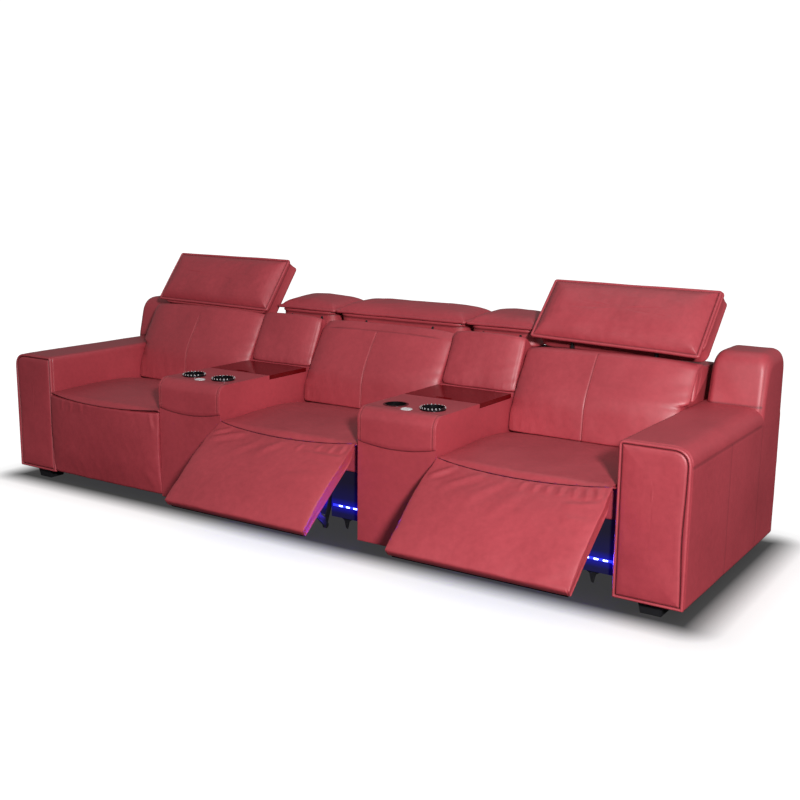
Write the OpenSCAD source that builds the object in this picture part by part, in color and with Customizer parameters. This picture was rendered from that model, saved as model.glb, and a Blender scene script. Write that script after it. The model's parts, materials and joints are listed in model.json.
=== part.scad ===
// Home cinema row: three power recliners, two storage consoles between them, an arm at each end.
// Millimetres. X runs along the row, Y from front to back, Z up from the floor.
// Modules work with Y = 0 at the front faces of the arms; placed() moves them to the row's middle.

/* [Row] */
// Width of one seat
seat_w = 705; // [640:5:780]
// Width of one console
console_w = 350; // [320:5:420]
// Width of one arm
arm_w = 250; // [180:5:300]
// Depth from the front faces to the rear faces
row_d = 1053; // [1050:1:1100]
// Height of the lower edge of the upholstery
lift = 50; // [35:1:60]

/* [Arms] */
// Height of the arm
arm_h = 600; // [560:1:640]
// Height of the wing at the rear of the arm
wing_h = 800; // [700:1:830]
// Length of the arm in front of the wing
wing_y = 790; // [700:1:840]
// Slope of the wing's front face, in degrees from upright
wing_slope = 12; // [0:1:20]
// Distance of the wing's inner side from the arm's inner side
wing_inset = 28; // [0:1:60]
// Radius of the arm's outer top edge
arm_r = 52; // [20:1:70]
// Radius of the wing's top edges
wing_r = 50; // [20:1:70]
// Thickness of the padded panel on the arm's front
arm_panel_t = 16; // [10:1:25]
// Distance from the panel's edge to its piped seam
piping_inset = 12; // [8:1:20]

/* [Seats] */
// Height of the seam at the front of the seat
seat_h = 441; // [430:1:455]
// Rise of the seat's crown above the seam
seat_crown = 14; // [5:1:25]
// Height of the seat cushion from its base to the seam
cushion_h = 137; // [130:1:150]
// Depth of the seat in front of the back cushion
seat_d = 540; // [520:1:570]
// Gap at each side of a soft part
soft_gap = 2; // [1:0.5:5]
// Gap at each side of a part that swings
swing_gap = 3; // [2:0.5:6]
// Gap between pieces that rest on each other
seat_gap = 0.3; // [0.2:0.1:0.5]
// Thickness of the boards of the seat frame
frame_board_t = 18; // [12:1:22]

/* [Footrests] */
// Opening angle of the left, middle and right footrest
footrest_open = [0, 52, 52]; // [0:1:85]
// Thickness of the pad at its edge
pad_t = 41; // [30:1:50]
// Bulge of the pad in its middle
pad_crown = 18; // [5:1:25]
// Thickness of the footrest board
board_t = 12; // [9:1:16]
// Height of the front base board
base_board_h = 196; // [180:1:200]
// Distance of each linkage from the middle of the seat
link_x = 160; // [120:1:190]
// Thickness of a steel link
link_t = 6; // [4:1:7]
// Radius of the rounded end of a link
link_r = 12; // [11:1:14]

/* [Backs] */
// Height of the tops of the back frames
shoulder_h = 728; // [715:1:735]
// Lean of the upper back, in degrees from upright
back_lean = 30; // [25:1:33]
// Thickness of the back cushion
back_cushion_t = 108; // [90:1:115]
// Place of the vertical seam, as a share of half the width
back_seam = -0.06; // [-0.3:0.01:0.3]

/* [Headrests] */
// Length of a head pad from its lower to its upper edge
head_l = 300; // [250:1:320]
// Lean of a raised head pad, in degrees from upright
head_lean = 38; // [35:1:42]
// Folding angle of the left, middle and right headrest
head_fold = [0, 45, 8]; // [0:1:45]
// Folding angle of the console head pads
console_fold = 45; // [0:1:45]
// Thickness of a head pad at its edge
head_t = 46; // [35:1:50]
// Bulge of a head pad in its middle
head_crown = 22; // [10:1:30]
// Thickness of the shell behind the head pad
shell_t = 50; // [18:1:60]

/* [Consoles] */
// Height of the console's top
console_h = 582; // [570:1:590]
// Radius of the console's front top edge
console_r = 46; // [30:1:48]
// Distance from the front to the lid
lid_y = 322; // [300:1:340]
// Length of the lid
lid_l = 260; // [200:1:262]
// Thickness of the lid
lid_t = 19; // [14:1:22]
// Depth of the storage well under the lid
well_h = 380; // [200:5:420]
// Width of the finger slot in the lid
slot_w = 75; // [60:1:100]
// Distance of the cup holders from the front
cup_y = 125; // [115:1:150]
// Distance of each cup holder from the console's middle
cup_x = 84; // [70:1:90]
// Radius of the cup holder's bore
cup_r = 42; // [36:0.5:43]
// Depth of the cup holder
cup_h = 62; // [40:1:80]
// Radius of the cup holder's flange
cup_flange_r = 50; // [49:0.5:54]
// Height of the toothed ring on a cup holder
cup_ring_h = 9; // [5:1:12]
// Number of notches round the toothed ring
cup_ring_teeth = 20; // [12:1:24]
// Radius of the control disc
disc_r = 23; // [15:0.5:24]
// Distance of the control disc from the front
disc_y = 70; // [65:1:75]
// Travel of the control disc
disc_travel = 1.5; // [1:0.1:3]

/* [Feet] */
// Width of a foot at its top
foot_w = 90; // [60:1:110]
// Distance of a foot from the faces above it
foot_inset = 22; // [10:1:40]

/* [Hidden] */
$fn = 48;

leather = [0.62, 0.2, 0.24];
leather_shade = [0.55, 0.14, 0.18];
lid_red = [0.33, 0.03, 0.05];
black = [0.08, 0.08, 0.09];
steel = [0.3, 0.31, 0.33];
silver = [0.8, 0.8, 0.82];
light_blue = [0.1, 0.15, 1];

pitch = seat_w + console_w;
seat_x = [-pitch, 0, pitch];
console_x = [-pitch / 2, pitch / 2];
arm_inner_x = pitch + seat_w / 2;

// Clearances of pins in their bores and of pieces that pass each other
pin_gap = 0.06;
open_pin_gap = 0.5;
pass_gap = 0.5;

arm_inner_r = 14;

// Seam at the front of the seat, and the centre that the footrest turns about
seam = [-5, seat_h];
turn_centre = seam + [-42, 26];
base_top = seat_h - cushion_h;
base_bottom = base_top - base_board_h;

// Closed footrest: planes of the pad's back, the board's back and the base board's front
pad_back_y = 33;
pad_top_z = seat_h - 14;
board_front_y = pad_back_y + seat_gap;
board_back_y = board_front_y + board_t;
base_board_y = board_back_y + 5;
base_board_t = 12;
// Reach of the boards of a frame into each other
lap = 1;

// Pivots of the footrest linkage on the closed footrest: frame, elbow and board
board_pivot = [base_board_y + base_board_t + 8, base_top - 40];
frame_pivot = [120, base_top - 15];
link_v = board_pivot - turn_centre;
tube_r = 10;
link_pin_r = 6;

// Rails, rear cross bar, and the front cross tube that holds the motor's end
rail_z = base_top - 34;
cross_bar_z = base_top - 34;
cross_tube = [330, base_top - 24];
cross_tube_r = 9;

// Places of rail, swing link, push link and board bracket side by side
swing_x = link_x + link_t + pass_gap;
push_x = swing_x + link_t + pass_gap;
bracket_x = push_x + link_t + pass_gap;
bracket_half = 20;
notch_x = [swing_x - 4, bracket_x + link_t + 4];
notch_top = board_pivot.y + bracket_half + 4;

// Back: lower front of the frame, the hinge and the rear plane
frame_y = seat_d + 100;
seat_end_y = frame_y - 10;
back_pivot_behind = 120;
back_pivot_below = 4;
back_pivot = [frame_y + back_pivot_behind, base_top - back_pivot_below];
// Rounded heel of the back frame: its reach below and above the pivot and its radii
back_below_pivot = 65;
heel_above_pivot = 40;
heel_r = 120;
heel_low_r = 40;
back_bottom = back_pivot.y - back_below_pivot;
frame_rear_y = row_d - 15;
rear_skirt_t = 12;
runner_y = 420;
runner_z = [lift + 12, lift + 48];
rear_skirt_top = back_bottom - 20;
hinge_plate_x = seat_w / 2 - 49;
hinge_plate_t = 8;
hinge_r = 20;
hinge_pin_r = 8;
hinge_pin_l = 16;

// Wing: its reach below the arm's rounded edge, and its radii at the top's front and rear
wing_sink = 10;
wing_front_r = 40;
wing_rear_r = 26;

// Headrest: lower front corner of the raised pad and the pivot in the back's top
head_behind_seat = 160;
head_above_back = 93;
head_pivot_behind = 88;
head_pivot_below = 100;
head_corner = [seat_d + head_behind_seat, shoulder_h + head_above_back];
head_pivot = head_corner + [head_pivot_behind, -head_pivot_below];
head_ear_x = 90;
head_ear_t = 10;
head_ear_r = 14;
ear_gap = 2;
head_pin_r = 5;

// Upper back: front edge of its top, and the height from which it leans
back_top_y = head_pivot.x - 26;
lean_z = seat_h + 90;

// Back cushions: rise of the top over the frame, depth of the lip on the frame's top and its
// reach down the front, drop of the front edge, and height and length of the belly above the seat
back_rise = 16;
back_lip = 6;
back_tuck = 14;
back_edge = 24;
back_thin = 22;
belly_h = 66;
belly_bend = 90;

// Console: underside of the lid, the lid's hinge, and the recess that both lie in
lid_under = console_h - lid_t;
lid_hinge = [lid_y + lid_l + 6, lid_under + lid_t / 2];
lid_side_gap = 1;
knuckle_r = 5;
knuckle_x = 100;
knuckle_l = 15;
lid_knuckle_l = 12;
lid_pin_r = 2.5;
back_band_y = lid_hinge.x + lid_t / 2 + 3;
well_wall = 20;
lid_rest = 14;
slot_y = 22;
slot_l = 18;

// Cup holders and control disc
cup_wall = 2;
flange_top = seat_gap + 1.6;
disc_bed = 9;

// Front and rear reach of the row at rest, and the middle between them
pad_foot = turn_centre + turn([pad_back_y - pad_t, lift] - turn_centre, max(footrest_open));
shell_end = turn(head_corner - head_pivot + head_l * [sin(head_lean), cos(head_lean)], max(head_fold));
row_mid_y = (pad_foot.x + max(row_d, head_pivot.x + shell_end.x)) / 2;

// Turns a side-view vector [y, z] so that a top leans to the back
function turn(v, a) = [v.x * cos(a) + v.y * sin(a), v.y * cos(a) - v.x * sin(a)];
function unit(v) = v / norm(v);
function mix(a, b, f) = a * (1 - f) + b * f;

// Front plane of the leaning backs at a height
function lean_y(z) = back_top_y - (shoulder_h - z) * tan(back_lean);

// Points of the arc that rounds the corner p between its neighbours a and b
function corner(a, p, b, r_asked, n) =
    r_asked == 0 ? [p] :
    let (u = unit(a - p), v = unit(b - p), half = acos(u * v) / 2,
         r = min(r_asked, 0.49 * min(norm(a - p), norm(b - p)) * tan(half)),
         c = p + unit(u + v) * r / sin(half),
         s = p + u * r / tan(half) - c, e = p + v * r / tan(half) - c,
         sweep = 180 - 2 * half)
    [for (k = [0 : n]) c + (s * sin((1 - k / n) * sweep) + e * sin(k / n * sweep)) / sin(sweep)];

// Soft bend at the corner p: a parabola that starts and ends at a reach along its edges
function bend(a, p, b, reach, n) =
    let (u = unit(a - p), v = unit(b - p), d = min(reach, 0.48 * norm(a - p), 0.48 * norm(b - p)))
    [for (k = [0 : n]) p + u * d * pow(1 - k / n, 2) + v * d * pow(k / n, 2)];

// Outline through corners [a, b, radius], each rounded with n steps
function rounded(pts, n = 6) =
    let (m = len(pts))
    [for (i = [0 : m - 1])
        let (a = pts[(i + m - 1) % m], p = pts[i], b = pts[(i + 1) % m])
        each corner([a.x, a.y], [p.x, p.y], [b.x, b.y], p[2], n)];

// Outline through corners [a, b, reach], each bent softly with n steps. A short reach gets a chamfer.
function soft(pts, n = 3) =
    let (m = len(pts))
    [for (i = [0 : m - 1])
        let (a = pts[(i + m - 1) % m], p = pts[i], b = pts[(i + 1) % m])
        each bend([a.x, a.y], [p.x, p.y], [b.x, b.y], p[2], p[2] > 6 ? n : 1)];

// Side-view outline [y, z] drawn out along X, centred
module along_x(w) {
    rotate([90, 0, 90]) linear_extrude(w, center = true) children();
}

// Side-view outline [y, z] drawn out from x0 towards +X
module plate_x(x0, t) {
    translate([x0, 0, 0]) rotate([90, 0, 90]) linear_extrude(t) children();
}

// Front-view outline [x, z] drawn out from y0 to y1
module along_y(y0, y1) {
    translate([0, y1, 0]) rotate([90, 0, 0]) linear_extrude(y1 - y0) children();
}

// Bar or bore along X through the side-view point p
module rod_x(p, r, x0, l) {
    translate([x0, p.x, p.y]) rotate([0, 90, 0]) cylinder(r = r, h = l);
}

// Children at both sides of a seat, the second one mirrored
module both_sides() {
    children();
    mirror([1, 0, 0]) children();
}

// Turns children about an X axis through p, tops to the back
module turned(p, a) {
    translate([0, p.x, p.y]) rotate([-a, 0, 0]) translate([0, -p.x, -p.y]) children();
}

module placed(x) {
    translate([x, -row_mid_y, 0]) children();
}

// Padded body: side-view outlines at its middle and at its ends, blended along its width.
// A seam is a narrow channel at a share of half the width.
module cushion(mid, end, w, fullness = 4, seam_at = undef) {
    seam_depth = 0.012;
    seam_half = 0.02;
    seam_gap = 0.07;
    plain = [-1, -0.97, -0.88, -0.6, 0, 0.6, 0.88, 0.97, 1];
    stations = is_undef(seam_at) ? plain
        : concat([for (u = plain) if (u < seam_at - seam_gap) u],
            [seam_at - seam_half, seam_at, seam_at + seam_half],
            [for (u = plain) if (u > seam_at + seam_gap) u]);
    n = len(mid);
    m = len(stations);
    centre = [for (k = [0 : 1]) let (c = k == 0 ? mid : end) [for (p = c) 1] * c / n];
    rings = [for (u = stations)
        let (f = 1 - sqrt(max(0, 1 - pow(abs(u), fullness))),
             dip = (!is_undef(seam_at) && u == seam_at) ? seam_depth : 0,
             c = mix(centre[0], centre[1], f))
        [for (j = [0 : n - 1])
            let (p = mix(mix(mid[j], end[j], f), c, dip)) [u * w / 2, p.x, p.y]]];
    cap0 = concat([-w / 2], centre[1]);
    cap1 = concat([w / 2], centre[1]);
    points = concat([for (r = rings) each r], [cap0, cap1]);
    sides = [for (i = [0 : m - 2]) for (j = [0 : n - 1])
        let (a = i * n + j, b = i * n + (j + 1) % n, c = b + n, d = a + n)
        each [[a, b, c], [a, c, d]]];
    ends = [for (j = [0 : n - 1]) each [
        [(j + 1) % n, j, m * n],
        [(m - 1) * n + j, (m - 1) * n + (j + 1) % n, m * n + 1]]];
    polyhedron(points, concat(sides, ends));
}

// Front view of an arm: outer top edge rounded most; the arm stands on +X of its inner face
function arm_outline(inset, top, r_out, r_in) = rounded([
    [inset, lift + inset, 4], [arm_w - inset, lift + inset, 4],
    [arm_w - inset, top - inset, r_out - inset], [inset, top - inset, r_in]], 8);

module arm_body() {
    wing_lean = (wing_h - arm_h) * tan(wing_slope);
    // The wing starts below the arm's rounded edge, so their outer sides are one
    wing_root = arm_h - arm_r - wing_sink;
    along_y(arm_panel_t, row_d) polygon(arm_outline(0, arm_h, arm_r, arm_inner_r));
    intersection() {
        along_y(wing_y, row_d) polygon(rounded([
            [wing_inset, lift, 0], [arm_w, lift, 0],
            [arm_w, wing_h, wing_r], [wing_inset, wing_h, wing_r]], 8));
        translate([arm_w / 2, 0, 0]) along_x(arm_w) polygon(rounded([
            [wing_y, wing_root, 0], [row_d, wing_root, 0], [row_d, wing_h, wing_rear_r],
            [wing_y + wing_lean, wing_h, wing_front_r], [wing_y, arm_h, 0]], 8));
    }
}

module arm(side) {
    color(leather) placed(0) scale([side, 1, 1]) translate([arm_inner_x, 0, 0]) arm_body();
}

// Padded front panel with a raised piped edge
module arm_panel(side) {
    crown_t = 3;
    groove = 3;
    color(leather) placed(0) mirror([side < 0 ? 1 : 0, 0, 0]) translate([arm_inner_x, 0, 0]) {
        difference() {
            along_y(crown_t, arm_panel_t) polygon(arm_outline(0, arm_h, arm_r, arm_inner_r));
            along_y(crown_t - 1, crown_t + groove) difference() {
                polygon(arm_outline(piping_inset - groove, arm_h, arm_r, 10));
                polygon(arm_outline(piping_inset, arm_h, arm_r, 8));
            }
        }
        along_y(0, crown_t) polygon(arm_outline(piping_inset + 2, arm_h, arm_r, 8));
    }
}

// Tapered foot standing on the floor
module foot(x, y) {
    taper = 8;
    half = foot_w / 2;
    side_view = [[-half + taper, 0], [half - taper, 0], [half, lift], [-half, lift]];
    translate([x, y, 0]) intersection() {
        along_x(foot_w) polygon(side_view);
        along_y(-half, half) polygon(side_view);
    }
}

module feet() {
    reach = foot_inset + foot_w / 2;
    color(black) placed(0) for (y = [arm_panel_t + reach, row_d - reach]) both_sides() {
        foot(arm_inner_x + arm_w / 2, y);
        foot(console_x[1], y);
    }
}

// Console: rounded front, recess for the lid, storage well, seats for cups and disc
module console(i) {
    half = console_w / 2;
    color(leather) placed(console_x[i]) difference() {
        along_x(console_w) polygon(rounded([
            [0, lift, 4], [row_d, lift, 4], [row_d, console_h, 0], [back_band_y, console_h, 2],
            [back_band_y, lid_under, 0], [lid_y, lid_under, 0],
            [lid_y, console_h, 2], [0, console_h, console_r]], 8));
        translate([-half + well_wall, lid_y + well_wall, lid_under - well_h])
            cube([console_w - 2 * well_wall, lid_l - well_wall - lid_rest, well_h + 1]);
        for (s = [-1, 1]) translate([s * cup_x, cup_y, console_h - cup_h - cup_wall - seat_gap])
            cylinder(r = cup_r + cup_wall + seat_gap, h = cup_h + 10);
        translate([0, disc_y, console_h - disc_bed]) cylinder(r = disc_r + seat_gap, h = disc_bed + 1);
    }
    // Knuckles and pins of the lid's hinge
    color(steel) placed(console_x[i]) for (s = [-1, 1]) {
        rod_x(lid_hinge, lid_pin_r, s * knuckle_x - knuckle_l - lid_knuckle_l,
            2 * (knuckle_l + lid_knuckle_l));
        rod_x(lid_hinge, knuckle_r, s * knuckle_x - knuckle_l, 2 * knuckle_l);
        translate([s * knuckle_x - knuckle_l, lid_hinge.x - 1, lid_under - 1])
            cube([2 * knuckle_l, back_band_y - lid_hinge.x + 2, lid_hinge.y - lid_under + 2]);
    }
}

// Lid with a finger slot at the front and its own knuckles beside those of the console
module console_lid(i) {
    half = console_w / 2 - lid_side_gap;
    outer = knuckle_l + pass_gap;
    color(lid_red) placed(console_x[i]) difference() {
        union() {
            along_x(2 * half) polygon(rounded([
                [lid_y + 1, lid_under + seat_gap, 1], [lid_y + lid_l, lid_under + seat_gap, 1],
                [lid_y + lid_l, console_h, 2], [lid_y + 1, console_h, 2]], 3));
            for (x = [-knuckle_x, knuckle_x]) for (dx = [-outer - lid_knuckle_l, outer]) {
                rod_x(lid_hinge, knuckle_r, x + dx, lid_knuckle_l);
                translate([x + dx, lid_y + lid_l - 1, lid_hinge.y - 3])
                    cube([lid_knuckle_l, lid_hinge.x - lid_y - lid_l, 6]);
            }
        }
        for (x = [-knuckle_x, knuckle_x]) for (dx = [-outer - lid_knuckle_l, outer])
            rod_x(lid_hinge, lid_pin_r + pin_gap, x + dx - 1, lid_knuckle_l + 2);
        // Finger slot
        translate([0, lid_y + slot_y, lid_under - 1]) linear_extrude(lid_t + 2)
            polygon(rounded([[-slot_w / 2, -slot_l / 2, 8], [slot_w / 2, -slot_l / 2, 8],
                [slot_w / 2, slot_l / 2, 8], [-slot_w / 2, slot_l / 2, 8]]));
    }
}

// Cup with a flat flange on the console's top
module cup_holder() {
    outer = cup_r + cup_wall;
    rotate_extrude() polygon([
        [0, -cup_h - cup_wall], [outer, -cup_h - cup_wall], [outer, seat_gap],
        [cup_flange_r, seat_gap], [cup_flange_r, flange_top], [cup_r, flange_top],
        [cup_r, -cup_h], [0, -cup_h]]);
}

module cup_holders(i) {
    color(black) placed(console_x[i]) for (s = [-1, 1])
        translate([s * cup_x, cup_y, console_h]) cup_holder();
}

// Toothed ring on a cup holder's flange
module cup_ring() {
    ring_r = cup_flange_r - 1;
    notch_r = 3.2;
    difference() {
        rotate_extrude() polygon(rounded([
            [cup_r + 1, 0, 0], [ring_r, 0, 0], [ring_r, cup_ring_h, 2.5], [cup_r + 1, cup_ring_h, 2]], 4));
        for (k = [0 : cup_ring_teeth - 1]) rotate(k * 360 / cup_ring_teeth)
            translate([ring_r + 1, 0, cup_ring_h * 0.35]) cylinder(r = notch_r, h = cup_ring_h, $fn = 16);
    }
}

module cup_rings() {
    color(black) translate([0, cup_y - row_mid_y, console_h + flange_top])
        for (x = [console_x[0] - cup_x, console_x[0] + cup_x, console_x[1] + cup_x])
            translate([x, 0, 0]) cup_ring();
}

// Round pressed control: a shallow dish in a bevelled rim
module control_disc(i) {
    h = disc_bed;
    color(silver) placed(console_x[i]) translate([0, disc_y, console_h - disc_bed + disc_travel + 0.5])
        rotate_extrude() polygon([[0, 0], [disc_r, 0], [disc_r, h - 1.5], [disc_r - 1.5, h],
            [disc_r - 5, h], [disc_r - 7, h - 1], [0, h - 1]]);
}

// Frame behind a back cushion, solid in side view, with its sloped shelf at the top
function back_frame_side() =
    rounded([
        [frame_y + 55, back_bottom, 30], [frame_rear_y - 8, back_bottom, heel_low_r],
        [frame_rear_y, back_pivot.y + heel_above_pivot, heel_r], [frame_rear_y - 22, shoulder_h, 34],
        [back_top_y, shoulder_h, 10], [lean_y(lean_z), lean_z, 60],
        [frame_y, seat_h + 20, 40], [frame_y, back_bottom + 60, 40]], 6);

// Slot in the top of a back where the headrest's ears turn
module ear_slots(w) {
    front = back_top_y + 6 - head_pivot.x;
    for (s = [-1, 1]) translate([s * w - head_ear_t / 2 - ear_gap, head_pivot.x + front,
        head_pivot.y - head_ear_r - 3])
        cube([head_ear_t + 2 * ear_gap, 32 - front, 60]);
}

// Pins of the headrest's hinge
module ear_pins(w) {
    reach = head_ear_t / 2 + ear_gap + 5;
    for (s = [-1, 1]) rod_x(head_pivot, head_pin_r, s * w - reach, 2 * reach);
}

module back_frame_body() {
    w = seat_w - 2 * swing_gap;
    slot_end = back_pivot + [hinge_r + 4, hinge_r + 4];
    bore_reach = hinge_pin_l + 9;
    difference() {
        along_x(w) polygon(back_frame_side());
        // Clear of the hinge plates at every angle of the back
        both_sides() translate([hinge_plate_x - 3, frame_y - 1, back_bottom - 1])
            cube([hinge_plate_t + 6, slot_end.x - frame_y + 1, slot_end.y - back_bottom + 1]);
        both_sides() rod_x(back_pivot, hinge_pin_r + pin_gap, hinge_plate_x - bore_reach,
            hinge_plate_t + 2 * bore_reach);
        ear_slots(head_ear_x * 2);
    }
    ear_pins(head_ear_x * 2);
}

module back_frame(i) {
    color(leather_shade) placed(seat_x[i]) back_frame_body();
}

// Side view of a back cushion: belly low down, upper part leaning back, rounded top
function back_cushion_side(draw) =
    let (slope = [sin(back_lean), cos(back_lean)], out = [-cos(back_lean), sin(back_lean)],
         back_top = [back_top_y - 2 * seat_gap - back_lip, shoulder_h + back_rise],
         back_foot = [lean_y(shoulder_h - back_tuck) - 2 * seat_gap, shoulder_h - back_tuck],
         back_low = [lean_y(lean_z) - 2 * seat_gap, lean_z],
         shoulder = back_top + out * (back_cushion_t - back_thin - draw) + slope * back_edge,
         belly = back_low + out * (back_cushion_t - 4 - draw))
    soft([
        [frame_y - seat_gap, seat_h + 4 + draw, 12], [seat_d + draw, seat_h + 2 + draw, 22],
        [seat_d + 8 + draw * 0.8, seat_h + belly_h, 60], [belly.x, belly.y + 10, belly_bend],
        [shoulder.x, shoulder.y - draw * 0.5, 30],
        [back_top.x + 4, back_top.y + 14 - draw * 0.5, 18],
        [back_foot.x, back_foot.y, 8], [back_low.x, back_low.y, 12],
        [frame_y - seat_gap, seat_h + 52, 30]], 3);

module back_cushion(i) {
    color(leather) placed(seat_x[i])
        cushion(back_cushion_side(0), back_cushion_side(20), seat_w - 2 * swing_gap - 2,
            seam_at = back_seam);
}

// Console back: frame standing on the console's rear, with the same top as the seats' backs
module console_back(i) {
    color(leather_shade) placed(console_x[i]) {
        difference() {
            along_x(console_w - 2) polygon(rounded([
                [row_d - 4, console_h, 0], [row_d - 26, shoulder_h, 34],
                [back_top_y, shoulder_h, 10], [lean_y(console_h), console_h, 0]], 6));
            ear_slots(head_ear_x);
        }
        ear_pins(head_ear_x);
    }
}

function console_cushion_side(draw) =
    let (slope = [sin(back_lean), cos(back_lean)], out = [-cos(back_lean), sin(back_lean)],
         back_top = [back_top_y - 2 * seat_gap - back_lip, shoulder_h + back_rise],
         back_foot = [lean_y(shoulder_h - back_tuck) - 2 * seat_gap, shoulder_h - back_tuck],
         shoulder = back_top + out * (back_cushion_t - back_thin - 4 - draw) + slope * back_edge)
    soft([
        [lean_y(console_h) - 2, console_h + seat_gap, 4],
        [back_band_y + 4 + draw, console_h + seat_gap + draw * 0.5, 20],
        [back_band_y + 14 + draw, console_h + 60, 80],
        [shoulder.x, shoulder.y - draw * 0.5, 30],
        [back_top.x + 4, back_top.y + 12 - draw * 0.5, 16],
        [back_foot.x, back_foot.y, 8]], 4);

module console_cushion(i) {
    color(leather) placed(console_x[i])
        cushion(console_cushion_side(0), console_cushion_side(14), console_w - 2 * soft_gap);
}

// Head pad in the raised pose: crowned front, flat back
function head_pad_side(draw, crown, thick) =
    let (o = head_corner, s = [sin(head_lean), cos(head_lean)], t = [cos(head_lean), -sin(head_lean)],
         at = function (a, b, r) concat(o + s * a + t * b, [r]))
    soft([
        at(draw, thick, 4), at(draw, head_t * 0.3, 10), at(head_l * 0.2, -crown * 0.85, 60),
        at(head_l * 0.75, -crown, 80), at(head_l - draw, head_t * 0.25, 10),
        at(head_l - draw, thick, 4)], 3);

module head_pad(w) {
    cushion(head_pad_side(0, head_crown, head_t), head_pad_side(9, -head_t * 0.3, head_t), w);
}

// Shell behind a head pad, with the two ears that turn on the pins
module head_shell(w, ear_x) {
    s = [sin(head_lean), cos(head_lean)];
    t = [cos(head_lean), -sin(head_lean)];
    front = head_corner + t * (head_t + seat_gap);
    back = front + t * shell_t;
    root = front + s * 26;
    difference() {
        union() {
            along_x(w) polygon(rounded([
                concat(front + s * 3, [2]), concat(back + s * 8, [10]),
                concat(back + s * (head_l - 12), [14]), concat(front + s * (head_l - 2), [3])], 4));
            for (x = [-1, 1]) {
                rod_x(head_pivot, head_ear_r, x * ear_x - head_ear_t / 2, head_ear_t);
                plate_x(x * ear_x - head_ear_t / 2, head_ear_t) polygon([
                    head_pivot + [-head_ear_r, 0], head_pivot + [head_ear_r, 0], back + s * 30, root]);
            }
        }
        for (x = [-1, 1]) rod_x(head_pivot, head_pin_r + pin_gap, x * ear_x - head_ear_t, 2 * head_ear_t);
    }
}

module headrest_shell(i) {
    color(leather_shade) placed(seat_x[i]) turned(head_pivot, head_fold[i])
        head_shell(seat_w - 2 * soft_gap, head_ear_x * 2);
}

module headrest_pad(i) {
    color(leather) placed(seat_x[i]) turned(head_pivot, head_fold[i]) head_pad(seat_w - 2 * soft_gap);
}

module console_shell(i) {
    color(leather_shade) placed(console_x[i]) turned(head_pivot, console_fold)
        head_shell(console_w - 2 * soft_gap, head_ear_x);
}

module console_pad(i) {
    color(leather) placed(console_x[i]) turned(head_pivot, console_fold)
        head_pad(console_w - 2 * soft_gap);
}

// Box of boards that carries the seat: front base board, side boards, rear board, rear skirt
module seat_frame(i) {
    half = seat_w / 2;
    front = base_board_y + base_board_t;
    skirt_y = row_d - rear_skirt_t;
    rear_board_top = cross_bar_z - 10;
    color(black) placed(seat_x[i]) {
        difference() {
            translate([-half, base_board_y, base_bottom]) cube([seat_w, base_board_t, base_board_h]);
            both_sides() translate([notch_x[0], base_board_y - 1, base_bottom - 1])
                cube([notch_x[1] - notch_x[0], base_board_t + 2, notch_top - base_bottom + 1]);
        }
        both_sides() plate_x(half - frame_board_t, frame_board_t) polygon([
            [front - lap, base_bottom], [runner_y, base_bottom], [runner_y, runner_z[0]],
            [skirt_y + lap, runner_z[0]], [skirt_y + lap, runner_z[1]],
            [seat_end_y, runner_z[1]], [seat_end_y, base_top], [front - lap, base_top]]);
        translate([-half + frame_board_t - lap, seat_end_y - frame_board_t, base_bottom])
            cube([seat_w - 2 * (frame_board_t - lap), frame_board_t, rear_board_top - base_bottom]);
        translate([-half, skirt_y, lift]) cube([seat_w, rear_skirt_t, rear_skirt_top - lift]);
    }
}

// Pointed bracket that hangs under the base board
function bracket_point() = [
    [-30, 60], [-30, 0], [-12, -12], [-4, -42], [4, -46], [12, -14], [34, 0], [34, 60]];

// Steel rails, cross bars, hinge plates of the back and pointed brackets under the base board
module mechanism(i) {
    rail_end = seat_end_y - frame_board_t - 1;
    plate_y = rail_end - 42;
    color(steel) placed(seat_x[i]) {
        both_sides() {
            difference() {
                plate_x(link_x, link_t) polygon([
                    [frame_pivot.x - 35, rail_z], [rail_end, rail_z],
                    [rail_end, base_top - 1], [frame_pivot.x - 35, base_top - 1]]);
                rod_x(frame_pivot, tube_r + pin_gap, link_x - 1, link_t + 2);
            }
            // Hinge plate of the back with its pin
            plate_x(hinge_plate_x, hinge_plate_t) polygon(rounded([
                [plate_y, back_pivot.y - 26, 0], [back_pivot.x + hinge_r, back_pivot.y - hinge_r, 18],
                [back_pivot.x + hinge_r, back_pivot.y + hinge_r, 18],
                [seat_end_y + 6, back_pivot.y + hinge_r, 8],
                [seat_end_y - 2, base_top - 1, 0], [plate_y, base_top - 1, 0]], 6));
            rod_x(back_pivot, hinge_pin_r, hinge_plate_x - hinge_pin_l, hinge_plate_t + 2 * hinge_pin_l);
            translate([seat_w / 2 - 97, 0, base_bottom])
                along_y(base_board_y + base_board_t, base_board_y + base_board_t + 4)
                    polygon(bracket_point());
        }
        // Rear cross bar and front cross tube
        translate([-seat_w / 2 + frame_board_t, rail_end - 25, cross_bar_z])
            cube([seat_w - 2 * frame_board_t, 25, 20]);
        rod_x(cross_tube, cross_tube_r, -link_x - link_t / 2, 2 * link_x + link_t);
    }
}

// Outline of a link between two side-view points, with round ends
function link_outline(a, b) =
    let (along = unit(b - a) * link_r, across = [-along.y, along.x], steps = 10)
    [for (end = [[b, 1], [a, -1]]) for (k = [0 : steps])
        end[0] + end[1] * (across * cos(k * 180 / steps) + along * sin(k * 180 / steps))];

module link(a, b, x0) {
    plate_x(x0, link_t) polygon(link_outline(a, b));
}

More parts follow.
